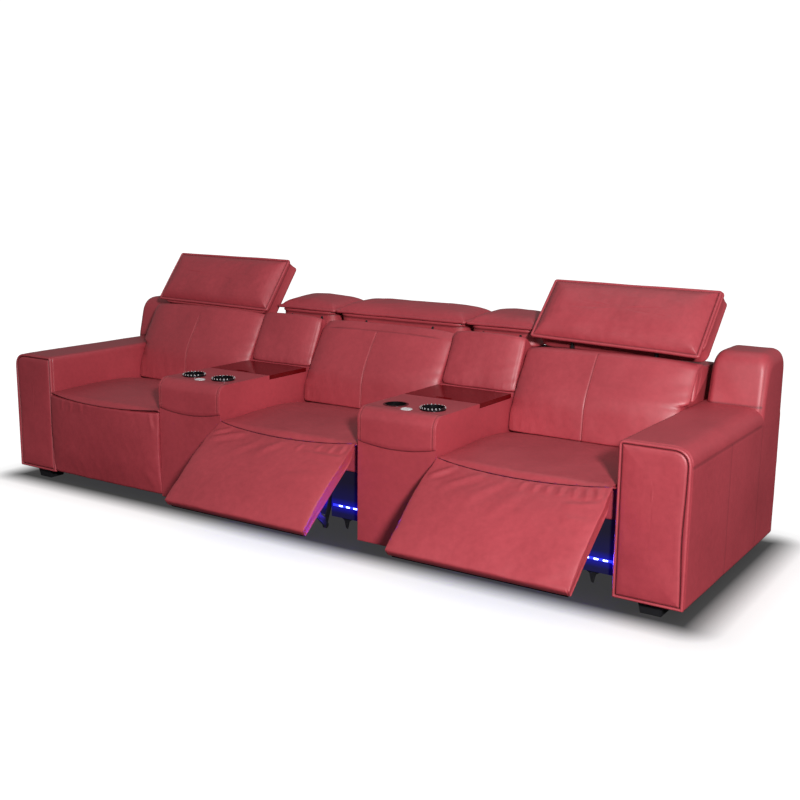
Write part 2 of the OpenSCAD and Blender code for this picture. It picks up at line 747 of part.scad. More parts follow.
// Swing links at both sides, fixed to the torque tube that runs between them
module swing_links(i) {
    elbow = frame_pivot + turn(link_v, footrest_open[i]);
    color(steel) placed(seat_x[i]) {
        both_sides() {
            link(frame_pivot, elbow, swing_x);
            rod_x(elbow, link_pin_r, swing_x, 2 * link_t + pass_gap);
        }
        rod_x(frame_pivot, tube_r, -swing_x - link_t, 2 * (swing_x + link_t));
    }
}

// Push links from the elbows to the footrest board; they keep their direction while they move
module push_links(i) {
    elbow = frame_pivot + turn(link_v, footrest_open[i]);
    far = turn_centre + turn(link_v, footrest_open[i]);
    color(steel) placed(seat_x[i]) both_sides() difference() {
        link(elbow, far, push_x);
        rod_x(elbow, link_pin_r + pin_gap, push_x - 1, link_t + 2);
        rod_x(far, link_pin_r + open_pin_gap, push_x - 1, link_t + 2);
    }
}

// Gear motors: gearbox on the torque tube, round motor behind it, clamp on the cross tube
module drive_motors() {
    box_w = 56;
    motor_r = 26;
    motor = [frame_pivot.x + 36, base_top - 58];
    motor_l = 150;
    clamp = [28, cross_tube.x + cross_tube_r + 4];
    color(black) for (i = [0 : 2]) placed(seat_x[i]) difference() {
        union() {
            translate([-box_w / 2, frame_pivot.x - 24, base_top - 88]) cube([box_w, 60, 86]);
            translate([0, motor.x, motor.y]) rotate([-90, 0, 0]) cylinder(r = motor_r, h = motor_l);
            translate([-clamp[0] / 2, motor.x + motor_l - 2, motor.y])
                cube([clamp[0], clamp[1] - motor.x - motor_l + 2,
                    cross_tube.y + cross_tube_r + 4 - motor.y]);
        }
        rod_x(frame_pivot, tube_r + seat_gap, -box_w, 2 * box_w);
        rod_x(cross_tube, cross_tube_r + seat_gap, -box_w, 2 * box_w);
    }
}

// Light strips on the front of the base boards, between and beside the linkages
module light_strips() {
    strip = [3, 8];
    z = base_bottom + 45;
    inner = notch_x[0] - 10;
    outer = notch_x[1] + 10;
    color(light_blue) for (i = [0 : 2]) placed(seat_x[i]) {
        translate([-inner, base_board_y - strip[0], z]) cube([2 * inner, strip[0], strip[1]]);
        both_sides() translate([outer, base_board_y - strip[0], z])
            cube([seat_w / 2 - 2 - outer, strip[0], strip[1]]);
    }
}

// Board behind the footrest pad, with the two brackets of the push links
module footrest_board(i) {
    color(black) placed(seat_x[i]) turned(turn_centre, footrest_open[i]) {
        translate([-seat_w / 2 + 18, board_front_y, lift + 12])
            cube([seat_w - 36, board_t, pad_top_z - lift - 34]);
        both_sides() {
            plate_x(bracket_x, link_t) polygon(rounded([
                [board_back_y - 1, board_pivot.y - bracket_half, 0],
                [board_pivot.x + 10, board_pivot.y - 11, 9],
                [board_pivot.x + 10, board_pivot.y + 11, 9],
                [board_back_y - 1, board_pivot.y + bracket_half, 0]], 6));
            rod_x(board_pivot, link_pin_r, push_x, link_t + pass_gap + link_t);
        }
    }
}

// Closed footrest pad: crowned front, lower end rounded under the board
function footrest_side(draw, crown) =
    let (front = pad_back_y - pad_t, span = pad_top_z - lift)
    soft([
        [pad_back_y, lift + 3, 8], [front + draw * 0.4, lift + draw * 0.2, 16],
        [front - crown * 0.9 + draw, lift + span * 0.3, 120],
        [front - crown + draw, lift + span * 0.66, 120],
        [front + draw * 0.5, pad_top_z, 8], [pad_back_y, pad_top_z - 2, 4]], 3);

module footrest_pad(i) {
    color(leather) placed(seat_x[i]) turned(turn_centre, footrest_open[i])
        cushion(footrest_side(0, pad_crown), footrest_side(10, 0), seat_w - 2 * swing_gap - 4);
}

// Seat cushion: crowned top, nose over the footrest, gusset below. Over an open footrest the
// nose runs on as a lip that follows the footrest's circle down to the pad.
function seat_side(i, draw) =
    let (arm = seam - turn_centre, open = footrest_open[i] * 0.9, end_y = seat_end_y - 2,
         lip = function (share, turned_by, r)
            concat(turn_centre + turn(arm * share, turned_by) + [0, -draw * 0.15], [r]),
         nose = open == 0
            ? [concat(seam + [0, -draw * 0.2], [5]), [seam.x + 3, pad_top_z + 3, 3]]
            : [lip(1, 0, 3), lip(1, open * 0.5, 3), lip(1.02, open, 2), lip(1.1, open, 2),
                lip(1.12, open * 0.5, 3), [seam.x + 3, pad_top_z + 3, 3]])
    soft(concat(nose, [
        [board_back_y + 1, pad_top_z + 3, 3], [base_board_y - 2, base_top + seat_gap, 6],
        [end_y, base_top + seat_gap, 6], [end_y, seat_h - 24, 12],
        [seat_d + 20, seat_h - 10 - draw * 0.4, 30],
        [seat_d * 0.66, seat_h + seat_crown - draw, seat_d * 0.3],
        [seat_d * 0.22, seat_h + seat_crown + 2 - draw, seat_d * 0.22]]), 3);

module seat_cushion(i) {
    color(leather) placed(seat_x[i])
        cushion(seat_side(i, 0), seat_side(i, 16), seat_w - 2 * soft_gap);
}

feet();
arm(-1);  // left_arm
arm(1);  // right_arm
arm_panel(-1);  // left_arm_panel
arm_panel(1);  // right_arm_panel
console(0);  // left_console
console(1);  // right_console
console_lid(0);  // left_console_lid
console_lid(1);  // right_console_lid
cup_holders(0);  // left_cup_holders
cup_holders(1);  // right_cup_holders
cup_rings();
control_disc(0);  // left_control_disc
control_disc(1);  // right_control_disc
console_back(0);  // left_console_back
console_back(1);  // right_console_back
console_cushion(0);  // left_console_cushion
console_cushion(1);  // right_console_cushion
console_shell(0);  // left_console_shell
console_shell(1);  // right_console_shell
console_pad(0);  // left_console_pad
console_pad(1);  // right_console_pad
light_strips();
drive_motors();
seat_frame(0);  // left_seat_frame
seat_frame(1);  // middle_seat_frame
seat_frame(2);  // right_seat_frame
mechanism(0);  // left_mechanism
mechanism(1);  // middle_mechanism
mechanism(2);  // right_mechanism
swing_links(0);  // left_swing_links
swing_links(1);  // middle_swing_links
swing_links(2);  // right_swing_links
push_links(0);  // left_push_links
push_links(1);  // middle_push_links
push_links(2);  // right_push_links
footrest_board(0);  // left_footrest_board
footrest_board(1);  // middle_footrest_board
footrest_board(2);  // right_footrest_board
footrest_pad(0);  // left_footrest_pad
footrest_pad(1);  // middle_footrest_pad
footrest_pad(2);  // right_footrest_pad
seat_cushion(0);  // left_seat_cushion
seat_cushion(1);  // middle_seat_cushion
seat_cushion(2);  // right_seat_cushion
back_frame(0);  // left_back_frame
back_frame(1);  // middle_back_frame
back_frame(2);  // right_back_frame
back_cushion(0);  // left_back_cushion
back_cushion(1);  // middle_back_cushion
back_cushion(2);  // right_back_cushion
headrest_shell(0);  // left_headrest_shell
headrest_shell(1);  // middle_headrest_shell
headrest_shell(2);  // right_headrest_shell
headrest_pad(0);  // left_headrest_pad
headrest_pad(1);  // middle_headrest_pad
headrest_pad(2);  // right_headrest_pad
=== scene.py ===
# %% [markdown]
# # A home cinema row in red leather
# Three power recliners stand in a row, with a storage console between each pair and a broad arm
# at each end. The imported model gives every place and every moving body, so each new surface is
# worked out in its coordinates. Lengths are typed in millimetres, with y counted from the front
# faces of the arms, and one function turns them into the row's metres.

import json
import math

import bpy
import numpy as np
from mathutils import Matrix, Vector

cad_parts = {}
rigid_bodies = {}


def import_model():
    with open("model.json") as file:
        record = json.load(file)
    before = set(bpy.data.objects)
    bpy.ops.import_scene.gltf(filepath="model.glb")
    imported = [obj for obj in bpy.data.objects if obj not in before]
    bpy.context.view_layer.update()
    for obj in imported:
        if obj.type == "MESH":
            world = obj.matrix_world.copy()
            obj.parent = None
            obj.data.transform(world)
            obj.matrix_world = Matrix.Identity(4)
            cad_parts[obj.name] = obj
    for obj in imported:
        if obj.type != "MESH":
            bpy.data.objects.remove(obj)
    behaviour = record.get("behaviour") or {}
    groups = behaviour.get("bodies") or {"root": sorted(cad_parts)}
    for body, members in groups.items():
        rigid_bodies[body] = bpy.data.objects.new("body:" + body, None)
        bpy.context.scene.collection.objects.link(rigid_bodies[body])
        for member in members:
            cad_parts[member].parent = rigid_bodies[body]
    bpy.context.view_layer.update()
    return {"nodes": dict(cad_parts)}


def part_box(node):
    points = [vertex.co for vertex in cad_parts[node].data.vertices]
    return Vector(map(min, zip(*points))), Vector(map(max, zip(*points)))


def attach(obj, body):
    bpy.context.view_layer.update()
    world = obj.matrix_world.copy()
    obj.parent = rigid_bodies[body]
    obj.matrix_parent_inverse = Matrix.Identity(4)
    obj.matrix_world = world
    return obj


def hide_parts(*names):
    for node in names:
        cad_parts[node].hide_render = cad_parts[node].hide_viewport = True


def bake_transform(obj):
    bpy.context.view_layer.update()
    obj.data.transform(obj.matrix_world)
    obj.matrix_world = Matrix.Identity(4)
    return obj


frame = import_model()
nodes = frame["nodes"]
FRONT_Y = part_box("left_arm_panel")[0].y
SEATS = {s: 1000 * sum(c.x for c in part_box(f"{s}_seat_frame")) / 2 for s in ("left", "middle", "right")}
CONSOLES = {s: 1000 * sum(c.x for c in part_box(f"{s}_console")) / 2 for s in ("left", "right")}
print("seats at x", SEATS, "consoles at x", CONSOLES, "front at y", round(FRONT_Y, 4))

# %% [markdown]
# ## Camera
# The picture was taken from the right, a little above the backs, with a lens of about 50 mm. The
# camera's three axes are worked out from its two angles and a small roll, and go straight into
# its matrix, so no constraint or target is needed.

# %% Place the camera at the photograph's viewing angle
def camera_matrix(place, azimuth, elevation, roll):
    """Columns are the camera's right, up and backward axes: right and up are the level ones,
    turned by the roll."""
    a, e, r = (math.radians(v) for v in (azimuth, elevation, roll))
    ahead = np.array([-math.sin(a) * math.cos(e), math.cos(a) * math.cos(e), -math.sin(e)])
    level = np.array([math.cos(a), math.sin(a), 0.0])
    above = np.cross(level, ahead)
    right = level * math.cos(r) + above * math.sin(r)
    up = above * math.cos(r) - level * math.sin(r)
    m = np.eye(4)
    m[:3, 0], m[:3, 1], m[:3, 2], m[:3, 3] = right, up, -ahead, place
    return m


FRAME_PX, FOCAL_PX, SENSOR = 800, 1119.0, 36.0
camera_data = bpy.data.cameras.new("camera")
camera_data.sensor_width = SENSOR
camera_data.lens = FOCAL_PX / FRAME_PX * SENSOR
camera = bpy.data.objects.new("camera", camera_data)
bpy.context.scene.collection.objects.link(camera)
camera_place = (2.774, FRONT_Y - 3.4, 1.443)
camera.matrix_world = Matrix(camera_matrix(camera_place, azimuth=33.26, elevation=11.3, roll=0.58).tolist())
bpy.context.scene.camera = camera
print("lens", round(camera_data.lens, 2), "mm")

# %% [markdown]
# ## From arrays to meshes
# Each piece is a grid of points: rows run one way over the surface, columns the other way. The
# grid goes into the mesh with foreach_set, which is much quicker than adding faces one by one.
# A closed mesh has a signed volume, and its sign tells whether the faces look outwards.

# %% Helpers that turn grids of points into meshes
def placed(points, x=0.0):
    """Metres in the row frame of points in millimetres: x is added, and y counts from the arms' fronts."""
    p = np.asarray(points, float) * 0.001
    return p + np.array([x * 0.001, FRONT_Y, 0.0])


def add_mesh(name, verts, faces, body, material, slot=None, crease=None, sharp=None):
    """Smooth mesh object from vertices and a list of face arrays, one row a face. The sum of
    a . (b x c) / 6 over its triangles is its volume: if that is negative, the faces are turned round."""
    tris = np.concatenate([f[:, [0, k, k + 1]] for f in faces for k in range(1, f.shape[1] - 1)])
    a, b, c = verts[tris].transpose(1, 0, 2)
    if (a * np.cross(b, c)).sum() / 6 < 0:
        faces = [f[:, ::-1] for f in faces]
    loops = np.concatenate([f.ravel() for f in faces]).astype(np.int32)
    totals = np.concatenate([np.full(len(f), f.shape[1]) for f in faces]).astype(np.int32)
    starts = np.concatenate([[0], np.cumsum(totals)[:-1]]).astype(np.int32)
    mesh = bpy.data.meshes.new(name)
    mesh.vertices.add(len(verts))
    mesh.vertices.foreach_set("co", verts.astype(np.float32).ravel())
    mesh.loops.add(len(loops))
    mesh.loops.foreach_set("vertex_index", loops)
    mesh.polygons.add(len(totals))
    mesh.polygons.foreach_set("loop_start", starts)
    mesh.polygons.foreach_set("use_smooth", np.ones(len(totals), bool))
    mesh.update(calc_edges=True)
    # The crease attribute carries painted shade for the leather in seams, and below zero a painted highlight
    if crease is not None:
        marks = mesh.attributes.new("crease", "FLOAT", "POINT")
        marks.data.foreach_set("value", crease.astype(np.float32).ravel())
    if sharp is not None:
        mesh.set_sharp_from_angle(angle=math.radians(sharp))
    mesh.materials.append(material)
    piece = bpy.data.objects.new(name, mesh)
    bpy.context.scene.collection.objects.link(piece)
    if body:
        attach(piece, body)
    return piece


def grid_faces(rows, cols, wrap=True, first=0):
    """Quads between neighbouring rows and columns of a grid; with wrap the last column meets the first."""
    index = first + np.arange(rows * cols).reshape(rows, cols)
    if wrap:
        index = np.concatenate([index, index[:, :1]], 1)
    return np.stack([index[:-1, :-1], index[:-1, 1:], index[1:, 1:], index[1:, :-1]], -1).reshape(-1, 4)


def closed_grid(P):
    """Vertices and faces of rings P[i, j] whose two end rings are closed by a fan to their middle point."""
    rows, cols = P.shape[:2]
    verts = np.concatenate([P.reshape(-1, 3), P[0].mean(0, keepdims=True), P[-1].mean(0, keepdims=True)])
    j = np.arange(cols)
    k = (j + 1) % cols
    n = rows * cols
    start = np.stack([k, j, np.full(cols, n)], -1)
    end = np.stack([n - cols + j, n - cols + k, np.full(cols, n + 1)], -1)
    return verts, [grid_faces(rows, cols), np.concatenate([start, end])]


def rings(name, P, body, material, x=0.0, crease=None, **more):
    """Closed piece from rings P[i, j] in millimetres. A ring just inside each end ring keeps the
    end faces flat: without it their smooth shading would bend into the sides."""
    first, last = (P[i] + 0.02 * (P[i].mean(0) - P[i]) for i in (0, -1))
    P = np.concatenate([first[None], P, last[None]])
    verts, faces = closed_grid(P)
    if crease is not None:
        rows = np.pad(np.broadcast_to(crease, (len(P) - 2, P.shape[1])), ((1, 1), (0, 0)), mode="edge")
        crease = np.concatenate([rows.ravel(), [0, 0]])
    return add_mesh(name, placed(verts, x), faces, body, material, crease=crease, **more)


# %% [markdown]
# ## Outlines
# Upholstery has few true arcs: leather drawn round a board bends softly. An outline is typed as
# corners, each with the reach of its bend, and the corner is replaced by a parabola. Every
# outline with the same corners gets the same number of points, so two outlines can be mixed.

# %% Soft outlines, turning, and normals of a grid
def soft_loop(corners, step=9.0, bend_steps=8):
    """Closed outline. At a corner p with directions u, v to its neighbours and reach d the outline follows
    p + u d (1-t)^2 + v d t^2; straight runs between the bends are cut into steps."""
    c = np.asarray(corners, float)
    p, reach = c[..., :2], c[..., 2:]
    back, ahead = np.roll(p, 1, -2) - p, np.roll(p, -1, -2) - p
    lb = np.linalg.norm(back, axis=-1, keepdims=True) + 1e-9
    la = np.linalg.norm(ahead, axis=-1, keepdims=True) + 1e-9
    d = np.minimum(reach, 0.48 * np.minimum(la, lb))
    start, end = p + back / lb * d, p + ahead / la * d
    t = np.linspace(0, 1, bend_steps)[:, None]
    out = []
    for k in range(c.shape[-2]):
        q = p[..., k, None, :]
        out.append(q + (start[..., k, None, :] - q) * (1 - t) ** 2 + (end[..., k, None, :] - q) * t**2)
        a, b = end[..., k, None, :], np.roll(start, -1, -2)[..., k, None, :]
        n = max(1, int(np.linalg.norm(b - a, axis=-1).max() / step))
        f = (np.arange(n) + 1)[:, None] / (n + 1)
        out.append(a + (b - a) * f)
    return np.concatenate(out, -2)


def turn(v, angle):
    """Side-view vectors turned by a so that a top leans back: (y cos a + z sin a, z cos a - y sin a)."""
    a = np.radians(angle)
    y, z = np.moveaxis(np.asarray(v, float), -1, 0)
    return np.stack([y * np.cos(a) + z * np.sin(a), z * np.cos(a) - y * np.sin(a)], -1)


def normals(P, wrap=True):
    """Unit normals of a grid: the cross product of the differences along its rows and columns."""
    du = np.gradient(P, axis=0)
    dv = (np.roll(P, -1, 1) - np.roll(P, 1, 1)) / 2 if wrap else np.gradient(P, axis=1)
    n = np.cross(du, dv)
    return n / (np.linalg.norm(n, axis=-1, keepdims=True) + 1e-12)


def outward(P, N):
    """Normals N turned to point away from the middle of the rings P."""
    away = ((P - P.mean(1, keepdims=True)) * N).sum(-1).mean()
    return N if away >= 0 else -N


def bump(value, centre, half):
    """Smooth hump exp(-((value - centre) / half)^2): height 1 at the centre, 0.37 a half width away."""
    return np.exp(-(((value - centre) / half) ** 2))


def ripple(P, seed, size, count=14):
    """Smooth noise of about -1 to 1: the sum of sin(k . p + phase) over waves of random directions
    and phases, each about `size` millimetres long, over the root of their count."""
    rng = np.random.default_rng(seed)
    direction = rng.normal(size=(count, 3))
    direction /= np.linalg.norm(direction, axis=1, keepdims=True)
    k = direction * 2 * np.pi / (size * rng.uniform(0.7, 1.5, (count, 1)))
    return np.sin(P @ k.T + rng.uniform(0, 6.28, count)).sum(-1) / math.sqrt(count)


def stations(count, ends=2.2):
    """Places from -1 to 1 across a piece, closer together towards both ends: t goes from -1 to 1 in
    even steps, and a place is sign(t) (1 - (1 - |t|)^ends)."""
    t = np.linspace(-1, 1, count)
    return np.sign(t) * (1 - (1 - np.abs(t)) ** ends)


def station_corners(u, rows):
    """Corner array (stations, corners, 3) from rows of y, z and reach, each a number or an array
    over the stations."""
    one = np.ones_like(u)
    return np.stack([np.stack([one * y, one * z, one * r], -1) for y, z, r in rows], 1)


def carry(x, loop):
    """Rings [x, y, z] from side-view points (stations, points, 2) and x, (stations, 1) or of every point."""
    return np.concatenate([np.broadcast_to(x, loop.shape[:2])[..., None], loop], -1)


def ends(u, power=4.0):
    """How far a station is drawn in: 1 - sqrt(1 - |u|^power), 0 over most of the width, 1 at both sides."""
    return 1 - np.sqrt(np.clip(1 - np.abs(u) ** power, 0, 1))


print("outline test:", soft_loop([[0, 0, 20], [100, 0, 20], [100, 50, 20], [0, 50, 20]]).shape)

# %% [markdown]
# ## Finishes
# The leather is a pigmented hide: an even red with slight clouds, a fine pebble grain, and short
# soft wrinkles. A picture of leather could be wrapped round each piece, but it would need an
# unwrapping of every cover. A pattern worked out from the place in space needs none and never
# repeats. Grain, clouds and wrinkles are one node group, which each leather places with its own
# values, and it feeds a Principled shader in the material itself.

# %% Node helpers
def new_group(name, inputs, outputs):
    """Empty node group with float inputs {name: default} and outputs [(name, type)]."""
    group = bpy.data.node_groups.new(name, "ShaderNodeTree")
    for key, value in inputs.items():
        socket = group.interface.new_socket(key, in_out="INPUT", socket_type="NodeSocketFloat")
        socket.default_value = value
    for key, kind in outputs:
        group.interface.new_socket(key, in_out="OUTPUT", socket_type=kind)
    enter, leave = group.nodes.new("NodeGroupInput"), group.nodes.new("NodeGroupOutput")
    return group, enter, leave


def object_place(tree):
    """Object coordinates: metres in the row's frame, because every piece keeps its place in its mesh."""
    return tree.nodes.new("ShaderNodeTexCoord").outputs["Object"]


def feed(tree, socket, value):
    """Gives an input a number, a linear colour or another node's output."""
    if isinstance(value, tuple):
        socket.default_value = (*value, 1)
    elif isinstance(value, (int, float)):
        socket.default_value = value
    else:
        tree.links.new(value, socket)


def math_node(tree, operation, a, b=0.5, clamp=False):
    """Math node with sockets or numbers on its two inputs; gives its output."""
    node = tree.nodes.new("ShaderNodeMath")
    node.operation, node.use_clamp = operation, clamp
    feed(tree, node.inputs[0], a)
    feed(tree, node.inputs[1], b)
    return node.outputs[0]


def span(tree, factor, low, size):
    """A value that goes from low to low + size as the factor goes from 0 to 1."""
    node = math_node(tree, "MULTIPLY_ADD", factor, size).node
    node.inputs[2].default_value = low
    return node.outputs[0]


def noise_node(tree, vector, scale, detail=2.0, rough=0.5):
    """Noise texture on a vector; gives its value between 0 and 1."""
    node = tree.nodes.new("ShaderNodeTexNoise")
    node.inputs["Detail"].default_value = detail
    node.inputs["Roughness"].default_value = rough
    feed(tree, node.inputs["Vector"], vector)
    feed(tree, node.inputs["Scale"], scale)
    return node.outputs["Fac"]


def ramp(tree, factor, colours, places=(0.3, 0.7)):
    """Colour ramp between two or more linear colours at places from 0 to 1."""
    node = tree.nodes.new("ShaderNodeValToRGB")
    while len(node.color_ramp.elements) < len(colours):
        node.color_ramp.elements.new(0.5)
    for element, place, colour in zip(node.color_ramp.elements, places, colours):
        element.position, element.color = place, (*colour, 1)
    tree.links.new(factor, node.inputs["Fac"])
    return node.outputs["Color"]


def mix_colour(tree, factor, a, b):
    """Mix of two colours, each a socket or a linear colour."""
    node = tree.nodes.new("ShaderNodeMix")
    node.data_type = "RGBA"
    tree.links.new(factor, node.inputs["Factor"])
    feed(tree, node.inputs[6], a)
    feed(tree, node.inputs[7], b)
    return node.outputs[2]


def bump_to_normal(tree, height, distance, strength=1.0):
    """Bump node of a height in metres; gives the normal."""
    node = tree.nodes.new("ShaderNodeBump")
    node.inputs["Strength"].default_value = strength
    node.inputs["Distance"].default_value = distance
    tree.links.new(height, node.inputs["Height"])
    return node.outputs["Normal"]


def new_material(name, **values):
    """Material with its Principled shader; values such as roughness are set on the shader's own sockets."""
    material = bpy.data.materials.new(name)
    material.use_nodes = True
    shader = material.node_tree.nodes["Principled BSDF"]
    for key, value in values.items():
        socket = shader.inputs[key.replace("_", " ").title().replace("Ior", "IOR")]
        socket.default_value = (*value, 1) if isinstance(value, tuple) else value
    return material, material.node_tree, shader


print("node helpers ready")

# %% The hide's grain, a group that both leathers share
def grain_group():
    """Height of a pebbled hide: 0.25 of rounded cells about a millimetre wide, 0.06 of finer pores, and
    wrinkles along the lines where a coarser noise crosses one half. Clouds are two sizes of noise."""
    g, enter, leave = new_group("hide_grain", {"Grain": 700.0, "Wrinkle": 34.0, "Wrinkle Depth": 0.5},
                                [("Height", "NodeSocketFloat"), ("Clouds", "NodeSocketFloat")])
    place = object_place(g)
    cells = g.nodes.new("ShaderNodeTexVoronoi")
    cells.feature = "SMOOTH_F1"
    g.links.new(place, cells.inputs["Vector"])
    g.links.new(enter.outputs["Grain"], cells.inputs["Scale"])
    pebble = math_node(g, "MULTIPLY", cells.outputs["Distance"], 0.25)
    pore = noise_node(g, place, 1900.0, 1.0)
    fold = noise_node(g, place, enter.outputs["Wrinkle"], 4.0, 0.6)
    ridge = math_node(g, "ABSOLUTE", math_node(g, "SUBTRACT", fold, 0.5))
    ridge = math_node(g, "MULTIPLY", ridge, enter.outputs["Wrinkle Depth"])
    pitted = math_node(g, "ADD", pebble, math_node(g, "MULTIPLY", pore, 0.06))
    g.links.new(math_node(g, "ADD", pitted, ridge), leave.inputs["Height"])
    clouds = math_node(g, "ADD", math_node(g, "MULTIPLY", noise_node(g, place, 2.6, 3.0), 0.65),
                       math_node(g, "MULTIPLY", noise_node(g, place, 55.0, 3.0), 0.35))
    g.links.new(clouds, leave.inputs["Clouds"])
    return g


HIDE = grain_group()
print("grain group:", len(HIDE.nodes), "nodes")

# %% [markdown]
# ### Leather
# The seams get painted shade, which the vertex attribute "crease" marks from 0 to 1.
# Raised edges such as piping have a crease below zero, where a painted highlight makes the hide a shade paler.

# %% Make the leathers
def leather(name, base, grain=700.0, wrinkle=34.0, depth=0.5, rough=(0.44, 0.58), bump_mm=0.35):
    """Pigmented hide: clouds shift the base colour, painted shade darkens it in the creases, and a painted highlight
    lightens raised edges.
    """
    material, tree, shader = new_material(name, specular_ior_level=0.75)
    hide = tree.nodes.new("ShaderNodeGroup")
    hide.node_tree = HIDE
    for key, value in (("Grain", grain), ("Wrinkle", wrinkle), ("Wrinkle Depth", depth)):
        hide.inputs[key].default_value = value
    dark = tuple(c * 0.84 for c in base)
    light = tuple(min(1, c * 1.1 + 0.004) for c in base)
    colour = ramp(tree, hide.outputs["Clouds"], (dark, light), (0.32, 0.68))
    mark = tree.nodes.new("ShaderNodeAttribute")
    mark.attribute_name = "crease"
    # Painted shade darkens the colour where the crease is above zero; a painted highlight pales it below zero
    shade = math_node(tree, "MULTIPLY", mark.outputs["Fac"], 0.85, clamp=True)
    painted_highlight = math_node(tree, "MULTIPLY", mark.outputs["Fac"], -0.5, clamp=True)
    colour = mix_colour(tree, shade, colour, tuple(c * 0.16 for c in base))
    colour = mix_colour(tree, painted_highlight, colour, tuple(min(1, c * 1.25 + 0.05) for c in base))
    tree.links.new(colour, shader.inputs["Base Color"])
    gloss = span(tree, hide.outputs["Clouds"], rough[0], rough[1] - rough[0])
    tree.links.new(gloss, shader.inputs["Roughness"])
    tree.links.new(bump_to_normal(tree, hide.outputs["Height"], bump_mm * 0.001), shader.inputs["Normal"])
    return material


RED = (0.360, 0.035, 0.049)
LEATHER = leather("red_leather", RED)
SHELL_LEATHER = leather("shell_leather", (0.36, 0.034, 0.046), wrinkle=26.0, depth=0.3)
print("leather", tuple(round(c, 3) for c in RED))

# %% [markdown]
# ### Lacquer, plastic, boards, steel and lights
# The lids are lacquered a dark red and polished, so a clear coat lies over the colour. Plastic
# and steel parts are black, each with its own roughness, and the base boards are covered with a
# dull black cloth.

# %% Make the other materials
def speckled(name, base, other, scale, rough, bump_mm=0.0, metallic=0.0, rough_span=0.1, **values):
    """Material whose colour and roughness vary with a noise of the given scale."""
    material, tree, shader = new_material(name, metallic=metallic, **values)
    noise = noise_node(tree, object_place(tree), scale, 3.0)
    tree.links.new(ramp(tree, noise, (base, other)), shader.inputs["Base Color"])
    tree.links.new(span(tree, noise, rough, rough_span), shader.inputs["Roughness"])
    if bump_mm:
        tree.links.new(bump_to_normal(tree, noise, bump_mm * 0.001), shader.inputs["Normal"])
    return material


LACQUER = speckled("dark_red_lacquer", (0.090, 0.001, 0.002), (0.115, 0.002, 0.003), scale=9.0, rough=0.12,
                   rough_span=0.05, coat_weight=0.10, coat_roughness=0.03, specular_ior_level=0.1)
PLASTIC = speckled("black_plastic", (0.010, 0.010, 0.012), (0.018, 0.018, 0.020), scale=420.0, rough=0.28,
                   bump_mm=0.05)
CUP_METAL = speckled("black_cup_metal", (0.02, 0.02, 0.022), (0.035, 0.035, 0.04), scale=60.0, rough=0.16,
                     metallic=0.85, rough_span=0.12)
BOARD = speckled("black_base_cloth", (0.003, 0.003, 0.006), (0.006, 0.006, 0.010), scale=900.0, rough=0.8,
                 bump_mm=0.3, specular_ior_level=0.2)
STEEL = speckled("black_steel", (0.03, 0.03, 0.033), (0.055, 0.055, 0.06), scale=90.0, rough=0.34,
                 bump_mm=0.08, metallic=0.8, rough_span=0.2)
SILVER = speckled("brushed_silver", (0.70, 0.70, 0.71), (0.80, 0.80, 0.81), scale=240.0, rough=0.3,
                  bump_mm=0.03, metallic=0.3, rough_span=0.12)
THREAD = speckled("pale_red_thread", (0.39, 0.065, 0.075), (0.46, 0.095, 0.105), scale=900.0, rough=0.6)
print("plastic, metal, board and thread made")

# %% [markdown]
# ### Lights and their glow
# The strips and diodes give off light themselves. They also light the boards that they are stuck
# on, and a lamp that close to a board would need many samples to come out smooth. So the strips'
# light on the board is painted: the board's cloth glows a little by itself, blue beside the strip,
# and fading with the height from it. The footrests' boards have the same cloth but lie further
# forward, and stay dark.

# %% Make the lights and the glow on the boards
strip_low, strip_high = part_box("light_strips")
# Colours of the painted light of the strips on the board cloth, from beside the strip outwards
GLOW = ((0.002, 0.001, 0.36), (0.002, 0.001, 0.05), (0.003, 0.001, 0.012))


def add_board_glow():
    """Painted light of the strips on the board: emission of the board cloth over the distance in height from the
    strips, near their plane only.
    """
    tree = BOARD.node_tree
    split = tree.nodes.new("ShaderNodeSeparateXYZ")
    tree.links.new(object_place(tree), split.inputs[0])
    off = math_node(tree, "SUBTRACT", split.outputs["Z"], (strip_low.z + strip_high.z) / 2)
    off = math_node(tree, "ABSOLUTE", off)
    near = math_node(tree, "COMPARE", split.outputs["Y"], strip_low.y + 0.014)
    near.node.inputs[2].default_value = 0.02
    glow = mix_colour(tree, near, (0, 0, 0), ramp(tree, off, GLOW, (0.0, 0.03, 0.10)))
    shader = tree.nodes["Principled BSDF"]
    shader.inputs["Emission Strength"].default_value = 1.0
    tree.links.new(glow, shader.inputs["Emission Color"])


def glowing(name, base, glow, strength, scale):
    """Light source behind a diffuser: the emission varies slightly with a noise."""
    material, tree, shader = new_material(name, roughness=0.4, emission_strength=strength)
    noise = noise_node(tree, object_place(tree), scale)
    tree.links.new(ramp(tree, noise, (base, tuple(c * 1.3 for c in base))), shader.inputs["Base Color"])
    tree.links.new(ramp(tree, noise, (glow, tuple(min(1, c * 1.15) for c in glow))), shader.inputs["Emission Color"])
    return material


add_board_glow()
STRIP = glowing("blue_light_strip", (0.02, 0.02, 0.25), (0.02, 0.03, 1.0), strength=1.6, scale=60.0)
CHIP = glowing("blue_white_diode", (0.5, 0.55, 0.9), (0.35, 0.45, 1.0), strength=7.0, scale=200.0)
print("strips from z", round(strip_low.z, 4), "to", round(strip_high.z, 4))

# %% [markdown]
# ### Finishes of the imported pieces
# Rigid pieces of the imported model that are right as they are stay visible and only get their
# finish. The end of a piece's name says which: every frame and board is covered with cloth, and
# every link and bracket is steel. What is left is upholstery, and gets its own cover below.

